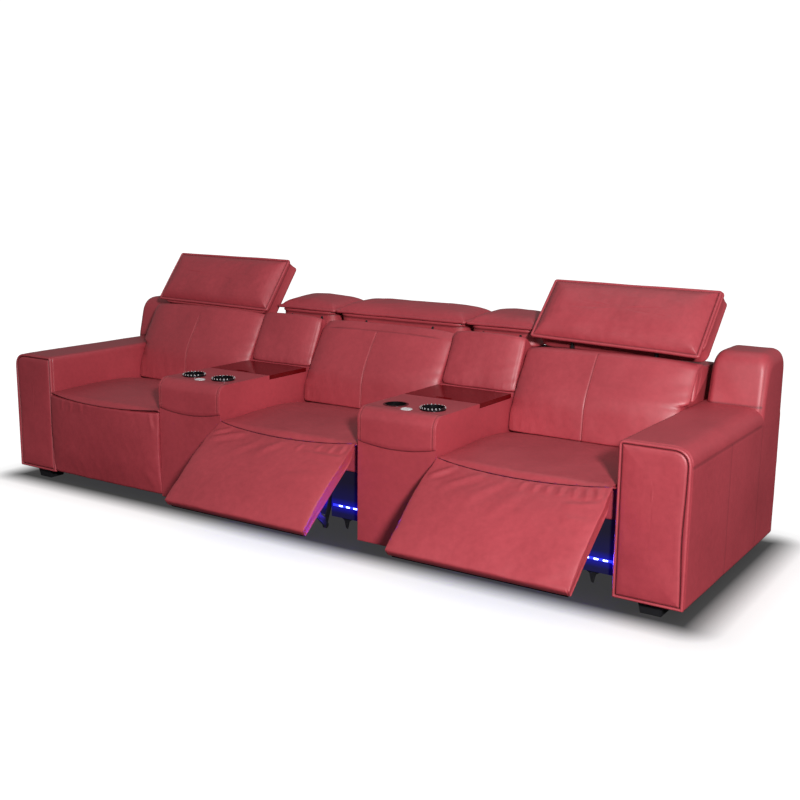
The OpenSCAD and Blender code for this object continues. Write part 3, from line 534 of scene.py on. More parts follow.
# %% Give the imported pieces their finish
FINISHES = {
    ("feet", "drive_motors"): PLASTIC, ("console_lid",): LACQUER, ("cup_holders", "cup_rings"): CUP_METAL,
    ("control_disc",): SILVER, ("light_strips",): STRIP, ("seat_frame", "footrest_board"): BOARD,
    ("mechanism", "links", "headrest_shell", "console_shell"): STEEL,
}
for name, node in nodes.items():
    chosen = next((finish for tails, finish in FINISHES.items() if name.endswith(tails)), LEATHER)
    node.data.materials.clear()
    node.data.materials.append(chosen)
print(len(nodes), "nodes given their finish")

# %% [markdown]
# ## Studio
# The photograph has a white ground that fades into a white background, one fairly hard light from
# the right front, and darker leather at the left end. A lamp near the right end gives both its
# cast shadows and the fall of light along the row. Three weak broad lamps soften its shadows, and
# a thin blue one in front of each open seat's strip lights what lies before it.

# %% A lamp that faces its target
def area_light(name, place, target, size, power, colour=(1, 1, 1), size_y=None):
    """Area light at a place in metres. Its axes are across the line to the target, up, and back."""
    data = bpy.data.lights.new(name, "AREA")
    data.shape = "RECTANGLE"
    data.size, data.size_y = size, size_y or size
    data.energy, data.color = power, colour
    light = bpy.data.objects.new(name, data)
    bpy.context.scene.collection.objects.link(light)
    ahead = np.array(target, float) - np.array(place, float)
    ahead /= np.linalg.norm(ahead)
    side = np.cross(ahead, (0, 0, 1.0))
    side /= np.linalg.norm(side)
    m = np.eye(4)
    m[:3, 0], m[:3, 1], m[:3, 2], m[:3, 3] = side, np.cross(side, ahead), -ahead, place
    light.matrix_world = Matrix(m.tolist())
    return light


def camera_sees(tree, other, seen, output):
    """Output that is `seen` where the camera looks straight at it, and `other` in light and reflections."""
    path = tree.nodes.new("ShaderNodeLightPath")
    either = tree.nodes.new("ShaderNodeMixShader")
    for socket, source in zip(either.inputs, (path.outputs["Is Camera Ray"], other.outputs[0], seen.outputs[0])):
        tree.links.new(source, socket)
    tree.links.new(either.outputs[0], tree.nodes[output].inputs["Surface"])


print("lamp and camera helpers ready")

# %% [markdown]
# ### Floor and background
# Under the row a painted shadow darkens the white paper, and it fades to pure white within a hand's
# breadth or two. A lamp's shadow on a lit floor never came out that even, so the paper's colour and
# glow are painted darker by its distance from the row's footprint: the part of the place that lies
# outside a rectangle, measured by its length. The lamps leave the floor out, and reflections see a
# plain grey, not the bright paper.

# %% Make the floor and the background
def footprint_distance(tree):
    """Length of max(|place - middle| - half size, 0), for the rectangle from the left to the right arm."""
    low, high = np.array(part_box("left_arm")[0]), np.array(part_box("right_arm")[1])
    middle, half = (low + high) / 2 * (1, 1, 0), (high - low) / 2 * (1, 1, 0)
    value = object_place(tree)
    for operation, other in (("SUBTRACT", middle), ("ABSOLUTE", None), ("SUBTRACT", half),
                             ("MAXIMUM", (0, 0, 0)), ("LENGTH", None)):
        step = tree.nodes.new("ShaderNodeVectorMath")
        step.operation = operation
        tree.links.new(value, step.inputs[0])
        if other is not None:
            step.inputs[1].default_value = tuple(other)
        value = step.outputs["Value" if operation == "LENGTH" else "Vector"]
    return value


def build_floor(size=30.0, count=9):
    """Square sheet of paper on the ground, with a painted shadow: its colour and glow are darker near the row, over the
    distance from it.
    """
    paper, tree, shader = new_material("pale_paper", roughness=0.9, emission_strength=1.0)
    away = footprint_distance(tree)
    # Painted shadow: the paper's base colour and glow grow darker towards the row's footprint
    for name, shades in (("Base Color", (0.14, 0.26, 0.55, 0.64)), ("Emission Color", (0.04, 0.24, 0.82, 1.0))):
        colours = [(v,) * 3 for v in shades]
        tree.links.new(ramp(tree, away, colours, (0.0, 0.045, 0.14, 0.30)), shader.inputs[name])
    grey = tree.nodes.new("ShaderNodeBsdfDiffuse")
    grey.inputs["Color"].default_value = (0.2, 0.19, 0.19, 1)
    camera_sees(tree, grey, shader, "Material Output")
    y, x = np.meshgrid(np.linspace(-size, size, count), np.linspace(-size, size, count))
    points = np.stack([x, y, np.zeros_like(x)], -1).reshape(-1, 3)
    return add_mesh("floor", points, [grid_faces(count, count, wrap=False)[:, ::-1]], None, paper)


floor = build_floor()
world = bpy.data.worlds.new("studio")
bpy.context.scene.world = world
world.use_nodes = True
ground = world.node_tree.nodes["Background"]
backdrop = world.node_tree.nodes.new("ShaderNodeBackground")
for background, strength in ((ground, 0.21), (backdrop, 1.1)):
    background.inputs["Color"].default_value = (1, 1, 1, 1)
    background.inputs["Strength"].default_value = strength
camera_sees(world.node_tree, ground, backdrop, "World Output")
print("floor", [round(v, 1) for v in floor.dimensions])

# %% Place the lamps
LAMPS = [("key", (4.32, -4.26, 2.62), (1.0, 0.0, 0.4), 0.5, 430),
         ("front", (0.6, -7.0, 3.4), (0.2, 0.5, 0.5), 3.0, 34),
         ("side", (4.4, 0.3, 1.5), (0.6, 0.3, 0.5), 1.8, 15),
         ("top", (0.4, 1.2, 4.2), (0.0, 0.3, 0.5), 2.6, 16)]
for word in ("middle", "right"):
    x = SEATS[word] * 0.001
    LAMPS.append((f"{word}_glow", (x, FRONT_Y + 0.035, 0.157), (x, FRONT_Y - 0.4, 0.14), 0.66, 16,
                  (0.08, 0.03, 1.0), 0.03))
lit = bpy.data.collections.new("not_the_floor")
lit.objects.link(floor)
lit.collection_objects[0].light_linking.link_state = "EXCLUDE"
for values in LAMPS:
    area_light(*values).light_linking.receiver_collection = lit
bpy.context.scene.view_settings.view_transform = "Standard"
print(len(LAMPS), "lamps")

# %% [markdown]
# ## Stitches
# A sewn seam shows as a row of short bars of thread that dip into the leather at both ends. A
# curve with a bevel would give one smooth cord, and a copied object for each stitch would be
# slow, so all the stitches of a seam are one mesh: four small rings for each of them.

# %% Rows of stitches
def walk(path, step):
    """Points at even steps along an open path: every column of it, interpolated over the length so far."""
    gaps = np.linalg.norm(np.diff(path[:, :3], axis=0), axis=1)
    length = np.concatenate([[0], np.cumsum(gaps)])
    s = np.arange(0, length[-1], step)
    return np.stack([np.interp(s, length, path[:, k]) for k in range(path.shape[1])], 1)


def unit(v):
    """Vectors scaled to length 1."""
    return v / (np.linalg.norm(v, axis=1, keepdims=True) + 1e-12)


def stitches(name, runs, body, x=0.0, pitch=7.0, length=4.6, radius=0.65, material=None):
    """Rows of stitches along runs of (points, normals). A ring is p + r (n cos + b sin), with b across the
    run, at four places along the stitch, and the outer two lie a radius deep."""
    verts, sides = [], 6
    share = np.array([-0.5, -0.3, 0.3, 0.5])[:, None]
    lift = np.array([-1.0, 0.35, 0.35, -1.0])[:, None] * radius
    angle = np.linspace(0, 2 * np.pi, sides, endpoint=False)[:, None]
    for points, normal in runs:
        both = walk(np.concatenate([points, np.broadcast_to(normal, points.shape)], 1), pitch)
        p, n = both[1:-1, :3], both[1:-1, 3:]
        along = unit(both[2:, :3] - both[:-2, :3])
        n = unit(n - (n * along).sum(1, keepdims=True) * along)
        centre = p[:, None] + along[:, None] * (share * length) + n[:, None] * lift
        ring = n[:, None] * np.cos(angle) + np.cross(along, n)[:, None] * np.sin(angle)
        verts.append((centre[:, :, None] + radius * ring[:, None]).reshape(-1, 3))
    verts = np.concatenate(verts)
    first = np.arange(0, len(verts), 4 * sides)[:, None, None]
    caps = np.array([[5, 4, 3, 2, 1, 0], [18, 19, 20, 21, 22, 23]])
    faces = [(first + grid_faces(4, sides)).reshape(-1, 4), (first + caps).reshape(-1, sides)]
    return add_mesh(name, placed(verts, x), faces, body, material or THREAD)


print("stitch helper ready")

# %% [markdown]
# ## Arms
# Each arm is a broad box of foam and leather over a frame. Its outer top edge is rolled over,
# with a seam below the roll, and two faint upright seams join the hides on the outer side. A box
# with bevels would have hard, even edges. Here the body is an outline seen from the front,
# carried from front to back, and the seams are shallow grooves pressed into it.

# %% Sizes of the arms and the arm bodies
ARM_X, ARM_W, ARM_H, ROW_D, LIFT = 1407.5, 250.0, 600.0, 1053.0, 50.0
WING_FOOT, PANEL_T, ROLL_SEAM, UPRIGHT_SEAMS = 792.0, 14.0, ARM_H - 66, (430.0, 806.0)
ARM_OUTLINE = [[0, LIFT, 6], [ARM_W, LIFT, 6], [ARM_W, ARM_H, 70.2], [0, ARM_H, 19.5]]
ENDS = ((-1, "left"), (1, "right"))


def resample(loop, count):
    """Closed outline at even steps, starting at its first point."""
    ring = np.concatenate([loop, loop[:1]])
    s = np.concatenate([[0], np.cumsum(np.linalg.norm(np.diff(ring, axis=0), axis=1))])
    t = np.linspace(0, s[-1], count, endpoint=False)
    return np.stack([np.interp(t, s, ring[:, k]) for k in range(ring.shape[1])], 1)


def build_arm(side, name):
    """Arm body: the front outline at stations along y. Near both ends it is eased towards the middle m, by
    m + (p - m) (1 - ease / half width), and the seams are grooves pressed in along the normals."""
    half = ARM_W / 2
    outline = resample(soft_loop(ARM_OUTLINE, 7.0, 12), 260)
    y = PANEL_T + (ROW_D - PANEL_T) * (stations(150, 1.6) + 1) / 2
    middle = np.array([half, (ARM_H + LIFT) / 2])
    ease = 3.5 * (bump(y, PANEL_T, 5) + bump(y, ROW_D, 7))
    P = middle + (outline[None] - middle) * (1 - ease[:, None, None] / half)
    grid = np.stack([P[..., 0], np.broadcast_to(y[:, None], P.shape[:2]), P[..., 1]], -1)
    N = outward(grid, normals(grid))
    X, Y, Z = grid[..., 0], grid[..., 1], grid[..., 2]
    top = np.clip((Z - ARM_H + 40) / 40, 0, 1)
    roll_seam = bump(Z, ROLL_SEAM, 3.2) * (X > half) * (Y < WING_FOOT)
    upright = sum(bump(Y, seam, 2.6) for seam in UPRIGHT_SEAMS) * (X > ARM_W - 6) * (Z < ROLL_SEAM)
    groove = 2.2 * roll_seam + 1.0 * upright + 0.4 * bump(Y, 30, 3) * top
    puff = 1.3 * bump(Z, ARM_H - 28, 30) * (X > half) + 1.6 * top * (1 - ((X - half) / half) ** 2)
    soft = 0.42 * ripple(grid, 11 + side, 210) + 0.15 * ripple(grid, 17, 60)
    shift = puff + soft - groove
    # The inner side faces the seat's moving pieces, so it stays just behind its plane
    shift = np.where(X < 6, np.minimum(shift, -0.2), shift)
    grid = grid + N * shift[..., None]
    grid[..., 0] = side * (ARM_X + grid[..., 0])
    # Painted shade in the roll seam and the upright seams
    crease = 0.9 * roll_seam + 0.45 * upright
    return rings(name, grid, "root", LEATHER, crease=crease, slot="leather")


for side, word in ENDS:
    body = build_arm(side, f"{word}_arm_leather")
    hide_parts(f"{word}_arm")
print("arm body:", len(body.data.polygons), "faces")

# %% [markdown]
# ### Wings
# Behind the sitter the arm rises into a wing with a rounded top. It is upholstered as one soft
# block: a side view is carried over the wing's width, and near both sides its front draws back
# and its top comes down along a quarter circle, which rounds the edges. A bevel modifier would
# round every edge alike, but here the top edge is softer than the front one, so each has its own
# radius. The wing's foot lies inside the arm, so no gap shows between the two.

# %% Wings
WING_Y, WING_H, WING_SLOPE, WING_INSET, WING_BASE = 790.0, 800.0, 12.0, 28.0, 541.0


def quarter(distance, radius):
    """How far a surface has come in at a distance from a side edge that is rounded with a radius r:
    r (1 - sqrt(1 - t^2)), where t is 1 at the edge and 0 a radius away."""
    t = np.clip(1 - distance / radius, 0, 1)
    return radius * (1 - np.sqrt(1 - t**2))


def build_wing(side, name):
    """Wing: the side view at stations over the width. Its front draws back and its top comes down by the
    quarter circles of two radii over the distance to the nearer side."""
    outer = ARM_W + 0.4
    half = (outer - WING_INSET) / 2
    u = stations(90, 2.4)
    edge = half * (1 - np.abs(u))
    front, top = quarter(edge, 30), quarter(edge, 50)
    lean = (WING_H - ARM_H) * math.tan(math.radians(WING_SLOPE))
    rear = ROW_D - 0.6 * front
    loop = soft_loop(station_corners(u, [
        (WING_Y + front, WING_BASE, 2), (WING_Y + 1 + front, ARM_H + 4, 20),
        (WING_Y + lean + front, WING_H - top, 62), (rear, WING_H - top, 40), (rear, WING_BASE, 2)]), 8, 14)
    grid = carry((outer + WING_INSET) / 2 + u[:, None] * half, loop)
    N = outward(grid, normals(grid))
    X, Y, Z = grid[..., 0], grid[..., 1], grid[..., 2]
    facing = np.clip(-N[..., 1], 0, 1)
    edge = edge[:, None]
    soft = 0.8 * ripple(grid, 23 + side, 120) + 3.0 * bump(X, 140, 80) * bump(Z, 700, 70) * facing
    welt = bump(edge, 12, 3.0) * facing
    grid = grid + N * (soft * np.clip(edge / 14, 0, 1) * (Z > ARM_H) - 0.9 * welt)[..., None]
    # Painted shade in the welt and where the wing's front meets the arm's top
    crease = 0.35 * welt + 0.7 * bump(Z, ARM_H + 2, 5) * (Y < WING_Y + 12)
    grid[..., 0] = side * (ARM_X + grid[..., 0])
    return rings(name, grid, "root", LEATHER, crease=crease, slot="leather", sharp=50)


for side, word in ENDS:
    wing = build_wing(side, f"{word}_arm_wing")
print("wing:", len(wing.data.polygons), "faces")

# %% [markdown]
# ### Front panels of the arms
# A padded panel closes the front of each arm. Its edge is a roll about as thick as a finger, and
# behind the roll the leather dips into a seam. The panel is a stack of outlines, each a little
# further in than the last, at depths that a profile gives.

# %% Bordered panels
def bordered(x0, x1, z0, z1, reach, profile, step=8.0):
    """Rings of a panel: for each (inset, depth) of the profile the rounded rectangle, drawn in by the
    inset. Gives the ring points (i, j, 2), the depths (i,) and the insets (i,)."""
    inset, depth = np.asarray(profile, float).T
    r = [np.maximum(2, bend - inset * 1.1) for bend in reach]
    rows = [(x0 + inset, z0 + inset, r[0]), (x1 - inset, z0 + inset, r[1]), (x1 - inset, z1 - inset, r[2]),
            (x0 + inset, z1 - inset, r[3])]
    return soft_loop(station_corners(inset, rows), step, 10), depth, inset


def dense(profile, count):
    """Profile rows at even steps of their own length, so that the rings lie closer where it bends."""
    p = np.asarray(profile, float)
    s = np.concatenate([[0], np.cumsum(np.linalg.norm(np.diff(p, axis=0), axis=1) ** 0.6)])
    t = np.linspace(0, s[-1], count)
    return np.stack([np.interp(t, s, p[:, k]) for k in range(p.shape[1])], 1)


ROLL = [(5, 16.5), (1, 16), (0, 13), (0, 8.5), (0.8, 5), (2.6, 2.4), (5.6, 1.2), (8.6, 2.2), (10.6, 5),
        (11.7, 8.6), (12.6, 8.8), (13.6, 5.4), (15.4, 2.8), (20, 0.8), (32, -0.8), (60, -2.2), (95, -3.0),
        (123, -3.2)]


def build_arm_panel(side, name):
    """Front panel: bordered rings whose outer seam bows inwards by a hump over the height."""
    ring, depth, inset = bordered(0, ARM_W, LIFT, ARM_H, [6, 6, 68, 18], dense(ROLL, 54))
    X, Z = ring[..., 0], ring[..., 1]
    i = inset[:, None]
    bow = 7.5 * bump(Z, 290, 150) * np.clip((i - 6) / 5, 0, 1) * np.clip((60 - i) / 40, 0, 1)
    X = X - bow * (X > ARM_W / 2)
    Y = np.broadcast_to(depth[:, None], X.shape)
    Y = Y + np.clip((i - 12) / 30, 0, 1) * 0.7 * ripple(np.stack([X, Y, Z], -1), 31, 130)
    # Painted shade in the seam behind the roll, and a painted highlight on the roll's edge
    crease = np.clip((Y - 3) / 4, 0, 1) * (np.abs(i - 12) < 3) - 0.35 * bump(i, 5.6, 2.5)
    grid = np.stack([side * (ARM_X + X), Y, Z], -1)
    return rings(name, grid, "root", LEATHER, crease=crease, slot="leather")


for side, word in ENDS:
    panel = build_arm_panel(side, f"{word}_arm_front")
    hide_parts(f"{word}_arm_panel")
print("arm front:", len(panel.data.polygons), "faces")

# %% [markdown]
# ## Consoles
# The front top edge of each console is a padded roll. It is sewn on along a curved seam low on
# the front and with an upright seam beside each corner. A scaled copy of the body would stand
# proud of it everywhere. Here the skin is a path in side view with an offset along its normal, so
# that it can swell above the curved seam, sink in at the upright ones, and thin out to nothing on
# top, in front of the cup holders.

# %% Console front rolls
CONSOLE_W, CONSOLE_H, CONSOLE_R, CORNER_SEAM = 350.0, 582.0, 46.0, 162.0
RISE_STEPS, BEND_STEPS, FLAT_Y = 26, 15, [50, 54, 58]


def console_seam_z(x):
    """Height 455 + 4 u - 20 (1 - u^2) of the seam across the console's front: it sags in the middle."""
    u = x / (CONSOLE_W / 2)
    return 455 + 4 * u - 20 * (1 - u**2)


def roll_path(x):
    """Side-view path of the roll over the stations x: up from the seam, round a quarter circle, and a
    little way back on top. Gives y, z and the normal's y and z at every point."""
    z0 = console_seam_z(x)[:, None]
    arc = np.linspace(0, np.pi / 2, BEND_STEPS + 1)[1:]
    straight, flat = np.linspace(0, 1, RISE_STEPS), np.zeros(len(FLAT_Y))
    y = np.concatenate([0 * straight, CONSOLE_R * (1 - np.cos(arc)), FLAT_Y])
    n_y = np.concatenate([0 * straight - 1, -np.cos(arc), flat])
    n_z = np.concatenate([0 * straight, np.sin(arc), flat + 1])
    bend_z = CONSOLE_H - CONSOLE_R + CONSOLE_R * np.sin(np.concatenate([arc, flat + np.pi / 2]))
    z = np.concatenate([z0 + (CONSOLE_H - CONSOLE_R - z0) * straight, 0 * z0 + bend_z], 1)
    return y, z, n_y, n_z


def build_console_roll(word):
    """Skin over the front top edge: its outer face lies off the path along the normal, its inner face
    1.5 mm under it. The offset grows quickly above the seam and thins out to nothing on top."""
    x = (CONSOLE_W / 2 - 0.2) * stations(90, 1.5)[:, None]
    y, z, n_y, n_z = roll_path(x[:, 0])
    v = np.linspace(0, 1, len(y))[None]
    full = 0.42 + 0.58 * np.sqrt(np.clip(1 - np.abs(x / (CONSOLE_W / 2)) ** 6, 0, 1))
    seam = bump(np.abs(x), CORNER_SEAM, 2.4)
    rise = np.sqrt(np.clip(v / 0.10, 0, 1)) * (1 - np.clip((v - 0.5) / 0.45, 0, 1) ** 1.2)
    sample = np.stack([np.broadcast_to(x, z.shape), np.broadcast_to(y, z.shape), z], -1)
    puff = 0.25 + 5.6 * rise * full - 1.3 * seam * rise + 0.35 * rise * ripple(sample, 41, 90)
    outer = np.stack([y + n_y * puff, z + n_z * puff], -1)
    inner = np.stack([np.broadcast_to(y - n_y * 1.5, z.shape), z - n_z * 1.5], -1)[:, ::-1]
    grid = carry(x, np.concatenate([outer, inner], 1))
    # Painted shade in the corner seams and along the curved seam at the roll's foot
    crease = np.concatenate([0.55 * seam * (v > 0) + 0.9 * bump(v, 0, 0.02), 0 * v * seam], 1)
    rings(f"{word}_console_roll", grid, "root", LEATHER, CONSOLES[word], crease=crease, slot="leather")
    runs, sewn = [], slice(2, 42)
    normal = np.stack([0 * n_y, n_y, n_z], -1)[sewn]
    for place in (4.5 - CORNER_SEAM, -4.5 - CORNER_SEAM, CORNER_SEAM - 4.5, CORNER_SEAM + 4.5):
        runs.append((grid[int(np.argmin(np.abs(x - place))), sewn], normal))
    stitches(f"{word}_console_roll_thread", runs, "root", CONSOLES[word])


for word in CONSOLES:
    build_console_roll(word)
console_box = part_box("right_console")
print("console rolls made; console box", [round(c, 3) for c in console_box[1] - console_box[0]])

# %% [markdown]
# ## Painted glints on the toothed rings
# Three cup holders have a raised black ring with teeth. The teeth's top edges are polished, and in
# the photograph their glints show as a circle of bright flecks. A pale mask on the edges in the
# material would hardly show at this size, so each tooth gets a small silver ridge: a painted glint,
# pale under any lamp. Such a ridge is a short bar along a circle, just as a stitch is, and the same
# function makes it.

# %% Flecks on the cup rings
RING_TOP, CUP_X, CUP_Y, TEETH, TOOTH_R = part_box("cup_rings")[1].z * 1000, 84, 125, 20, 48
RINGED_CUPS = (CONSOLES["left"] - CUP_X, CONSOLES["left"] + CUP_X, CONSOLES["right"] + CUP_X)


def circle(x, radius, z):
    """Points of a circle round an upright axis, and their upward normals."""
    a = np.linspace(0, 2 * np.pi, 4 * TEETH + 1)
    points = np.stack([x + radius * np.cos(a), CUP_Y + radius * np.sin(a), z + 0 * a], -1)
    return points, np.array([0.0, 0.0, 1.0])


# Silver ridges on the teeth's edges are painted glints
runs = [circle(x, TOOTH_R + off, RING_TOP + z) for x in RINGED_CUPS for off, z in ((-1.4, 0.2), (1.4, -2.6))]
flecks = stitches("cup_ring_flecks", runs, "root", pitch=2 * np.pi * TOOTH_R / TEETH, length=4.2, radius=1.0,
                  material=SILVER)
print("flecks:", len(flecks.data.polygons), "faces")

# %% [markdown]
# ## Diodes
# Each base board carries a light strip, and its diodes sit in a row under small domed lenses. An
# array modifier could repeat one lens, but the export needs plain meshes, so a row of short bars,
# made in the same way as stitches, lies on the strip's front. The row has a break in front of
# each swing link.

# %% Rows of diodes on the strips
strip_y, strip_z = 1000 * (strip_low.y - FRONT_Y) + 2.4, 500 * (strip_low.z + strip_high.z)
for word, x in SEATS.items():
    runs = [(np.array([[a, strip_y, strip_z], [b, strip_y, strip_z]]), np.array([0, -1.0, 0]))
            for a, b in ((-348, -200), (-150, 152), (202, 348))]
    diodes = stitches(f"{word}_diodes", runs, "root", x, pitch=35.0, length=25.0, radius=3.2, material=CHIP)
print("diodes at y", round(strip_y, 1), "z", round(strip_z, 1))

# %% [markdown]
# ## Seat cushions
# A seat is foam under leather: crowned in the middle, rounded down to its sides, with a full nose
# that bulges over the footrest. A cloth simulation could blow such a form up, but the seat lies
# within a few millimetres of the arm, the console and the footrest, and a formula keeps those
# gaps. The outline of the side view changes over the width, so every station has its own corners,
# and the rings between them make the cushion.

# %% Seat cushions
SEAT_HALF, SEAT_H, BASE_TOP = 350.1, 441.0, 304.3
OPEN = {"left": 0.0, "middle": 52.0, "right": 52.0}


def nose_bulge(u):
    """Share of the nose's bulge at a station: (1 - u^2)^0.8, so 1 in the middle and 0 at the sides."""
    return np.clip(1 - u**2, 0, 1) ** 0.8


def seam_point(u):
    """Side-view place of the seam between seat and footrest: further out and lower by the nose's bulge."""
    b = nose_bulge(u)
    return np.stack([-5 - 32 * b, SEAT_H - 2.5 * ends(u) - 21 * b], -1)


def build_seat(word):
    """Seat cushion: side-view corners shifted over the width by the draw-in e and the bulge b, then the
    wrinkles, which are products of humps and sine waves, added along the normals."""
    u = stations(110, 2.0)
    e, b, s = ends(u), nose_bulge(u), seam_point(u)
    loop = soft_loop(station_corners(u, [
        (s[:, 0], s[:, 1], 2), (-1.5, 430.6, 3), (46.3, 430.4, 3), (48.5, BASE_TOP, 8), (628, BASE_TOP, 6),
        (628, 417, 12), (562, 431 - 6 * e, 30), (400, 463 - 24 * e, 170), (150, 460 - 23 * e, 130),
        (10 - 27 * b, 444 - 3 * b - 7 * e, 56)]), 9, 9)
    rim = np.clip((loop[..., 1] - 428) / 20, 0, 1) * np.clip((300 - loop[..., 0]) / 240, 0, 1)
    grid = carry(u[:, None] * (SEAT_HALF - (22 if OPEN[word] else 8) * rim), loop)
    N = outward(grid, normals(grid))
    X, Y, Z = grid[..., 0], grid[..., 1], grid[..., 2]
    top = np.clip((Z - 432) / 8, 0, 1) * (np.abs(X) < 338)
    near = bump(Y, s[:, :1], 30) * top
    pucker = near * np.sin(X / 9.5 + 2.2 * np.sin(X / 47)) * 0.5 * (0.4 + 0.6 * np.abs(u[:, None]))
    soft = top * (0.9 * ripple(grid, 51 + ord(word[0]), 170) + 0.35 * ripple(grid, 53, 60))
    side_puff = 1.4 * bump(Z, 365, 40) * (Z < 425) * (Y < 60) * (np.abs(X) < 345)
    gather = 4.0 * bump(Z, 370, 60) * (Y < 60) * np.sin(X / 6.0) * np.clip(np.abs(u[:, None]) - 0.8, 0, 1)
    grid = grid + N * (soft + pucker + side_puff + gather)[..., None]
    # Painted shade along the seam to the footrest
    crease = 0.5 * bump(np.hypot(Y - s[:, :1], Z - s[:, 1:]), 0, 2.4)
    return rings(f"{word}_seat_leather", grid, "root", LEATHER, SEATS[word], crease=crease, slot="leather")


for word in SEATS:
    seat = build_seat(word)
    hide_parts(f"{word}_seat_cushion")
print("seat:", len(seat.data.polygons), "faces")

# %% [markdown]
# ## Footrest pads
# A footrest pad is one leather panel over foam on a board. On an open seat the leather runs on up
# to the seam as a tongue, so that piece spans the joint. The leather shows long soft folds that run
# out from the seam. A cloth simulation would find folds of its own, but not the ones in the
# photograph, so each fold is listed: a ridge along a line, with a width and a height.

# %% The folds of the footrest pads
def folds(X, D, lines):
    """Height of ridges. A line is (x1, d1, x2, d2, half width, height), with d the distance from the seam.
    t runs along it from 0 to 1 and fades it by 1 - |2 t - 1|^3; across it a hump has a dip beside it."""
    total = 0.0
    for x1, d1, x2, d2, half, height in lines:
        dx, dd = x2 - x1, d2 - d1
        length = math.hypot(dx, dd)
        t = ((X - x1) * dx + (D - d1) * dd) / length**2
        off = ((X - x1) * dd - (D - d1) * dx) / length
        taper = np.clip(1 - np.abs(2 * np.clip(t, -0.3, 1.3) - 1) ** 3, 0, 1)
        total = total + height * taper * (bump(off, 0, half) - 0.55 * bump(off, half * 1.9, half))
    return FOLD_SCALE * total


FOLD_SCALE = 2.1
FOLDS = {
    "left": [(-250, 6, -262, 60, 9, 0.8), (-190, 8, -200, 70, 9, 0.8), (300, 10, 318, 90, 9, 1.0),
             (-120, 4, -124, 50, 9, 0.6), (250, 260, 320, 340, 22, 0.8)],
    "middle": [(-150, 10, -330, 96, 13, 2.8), (-250, 12, -335, 64, 10, 2.2), (40, 16, -60, 120, 16, 2.0),
               (-60, 22, -170, 130, 15, 1.5), (150, 60, 335, 84, 10, 1.9), (185, 110, 335, 150, 11, 1.6),
               (130, 14, 110, 60, 9, 1.2), (265, 8, 262, 60, 9, 1.2), (305, 8, 312, 60, 9, 1.3),
               (210, 10, 200, 54, 9, 1.0), (120, 190, 330, 172, 16, 1.5)],
    "right": [(-240, 10, -332, 92, 11, 2.4), (-120, 12, -260, 120, 14, 2.2), (-20, 16, -140, 150, 16, 1.8),
              (40, 10, 32, 62, 9, 1.4), (86, 10, 84, 58, 9, 1.3), (130, 8, 134, 56, 9, 1.4),
              (176, 8, 182, 60, 9, 1.5), (222, 8, 236, 64, 9, 1.4), (262, 8, 282, 70, 9, 1.5),
              (300, 8, 318, 60, 9, 1.3), (205, 96, 335, 84, 11, 1.8), (230, 150, 335, 176, 12, 1.7),
              (60, 60, -30, 190, 20, 1.2), (110, 200, 330, 250, 24, 0.9)],
}
print("folds:", {word: len(lines) for word, lines in FOLDS.items()})

# %% [markdown]
# The closed pad hangs in front of the seat's base. An open one is the same form, turned about the
# footrest's centre, with three more corners in its outline that lead the leather up to the seam.

# %% Footrest pads
PAD_HALF, PAD_CENTRE = 348.0, np.array([-47.0, 467.0])


def pad_corners(u, word):
    """Corners of the pad's side view: closed, or turned about the centre with its tongue up to the seam."""
    e, b, s = ends(u, 5.0), nose_bulge(u), seam_point(u)
    top = 17.0 * b if word == "left" else 0.0 * b
    closed = station_corners(u, [
        (33, 56 + 1.5 * e, 7), (5 * e, 53 + 4 * e, 24), (-22 + 19 * e, 150, 110),
        (-25 - 0.3 * top + 16 * e, 300, 120), (-9 - 1.25 * top + 6 * e, 425.5 - 0.6 * top, 9), (33, 424.5, 4)])
    if not OPEN[word]:
        return closed
    closed[..., :2] = PAD_CENTRE + turn(closed[..., :2] - PAD_CENTRE, OPEN[word])
    closed[:, 4, 2] = 26
    lip = s + [-1.0, -1.2]
    under = lip + [1.5, -5.0]
    bend = 0.55 * lip + 0.45 * closed[:, 4, :2] - np.array([3.0, 4.0]) * (1 - b)[:, None]
    tongue = station_corners(u, [(*bend.T, 14), (*lip.T, 2), (*under.T, 2)])
    return np.concatenate([closed[:, :5], tongue, closed[:, 5:]], 1)


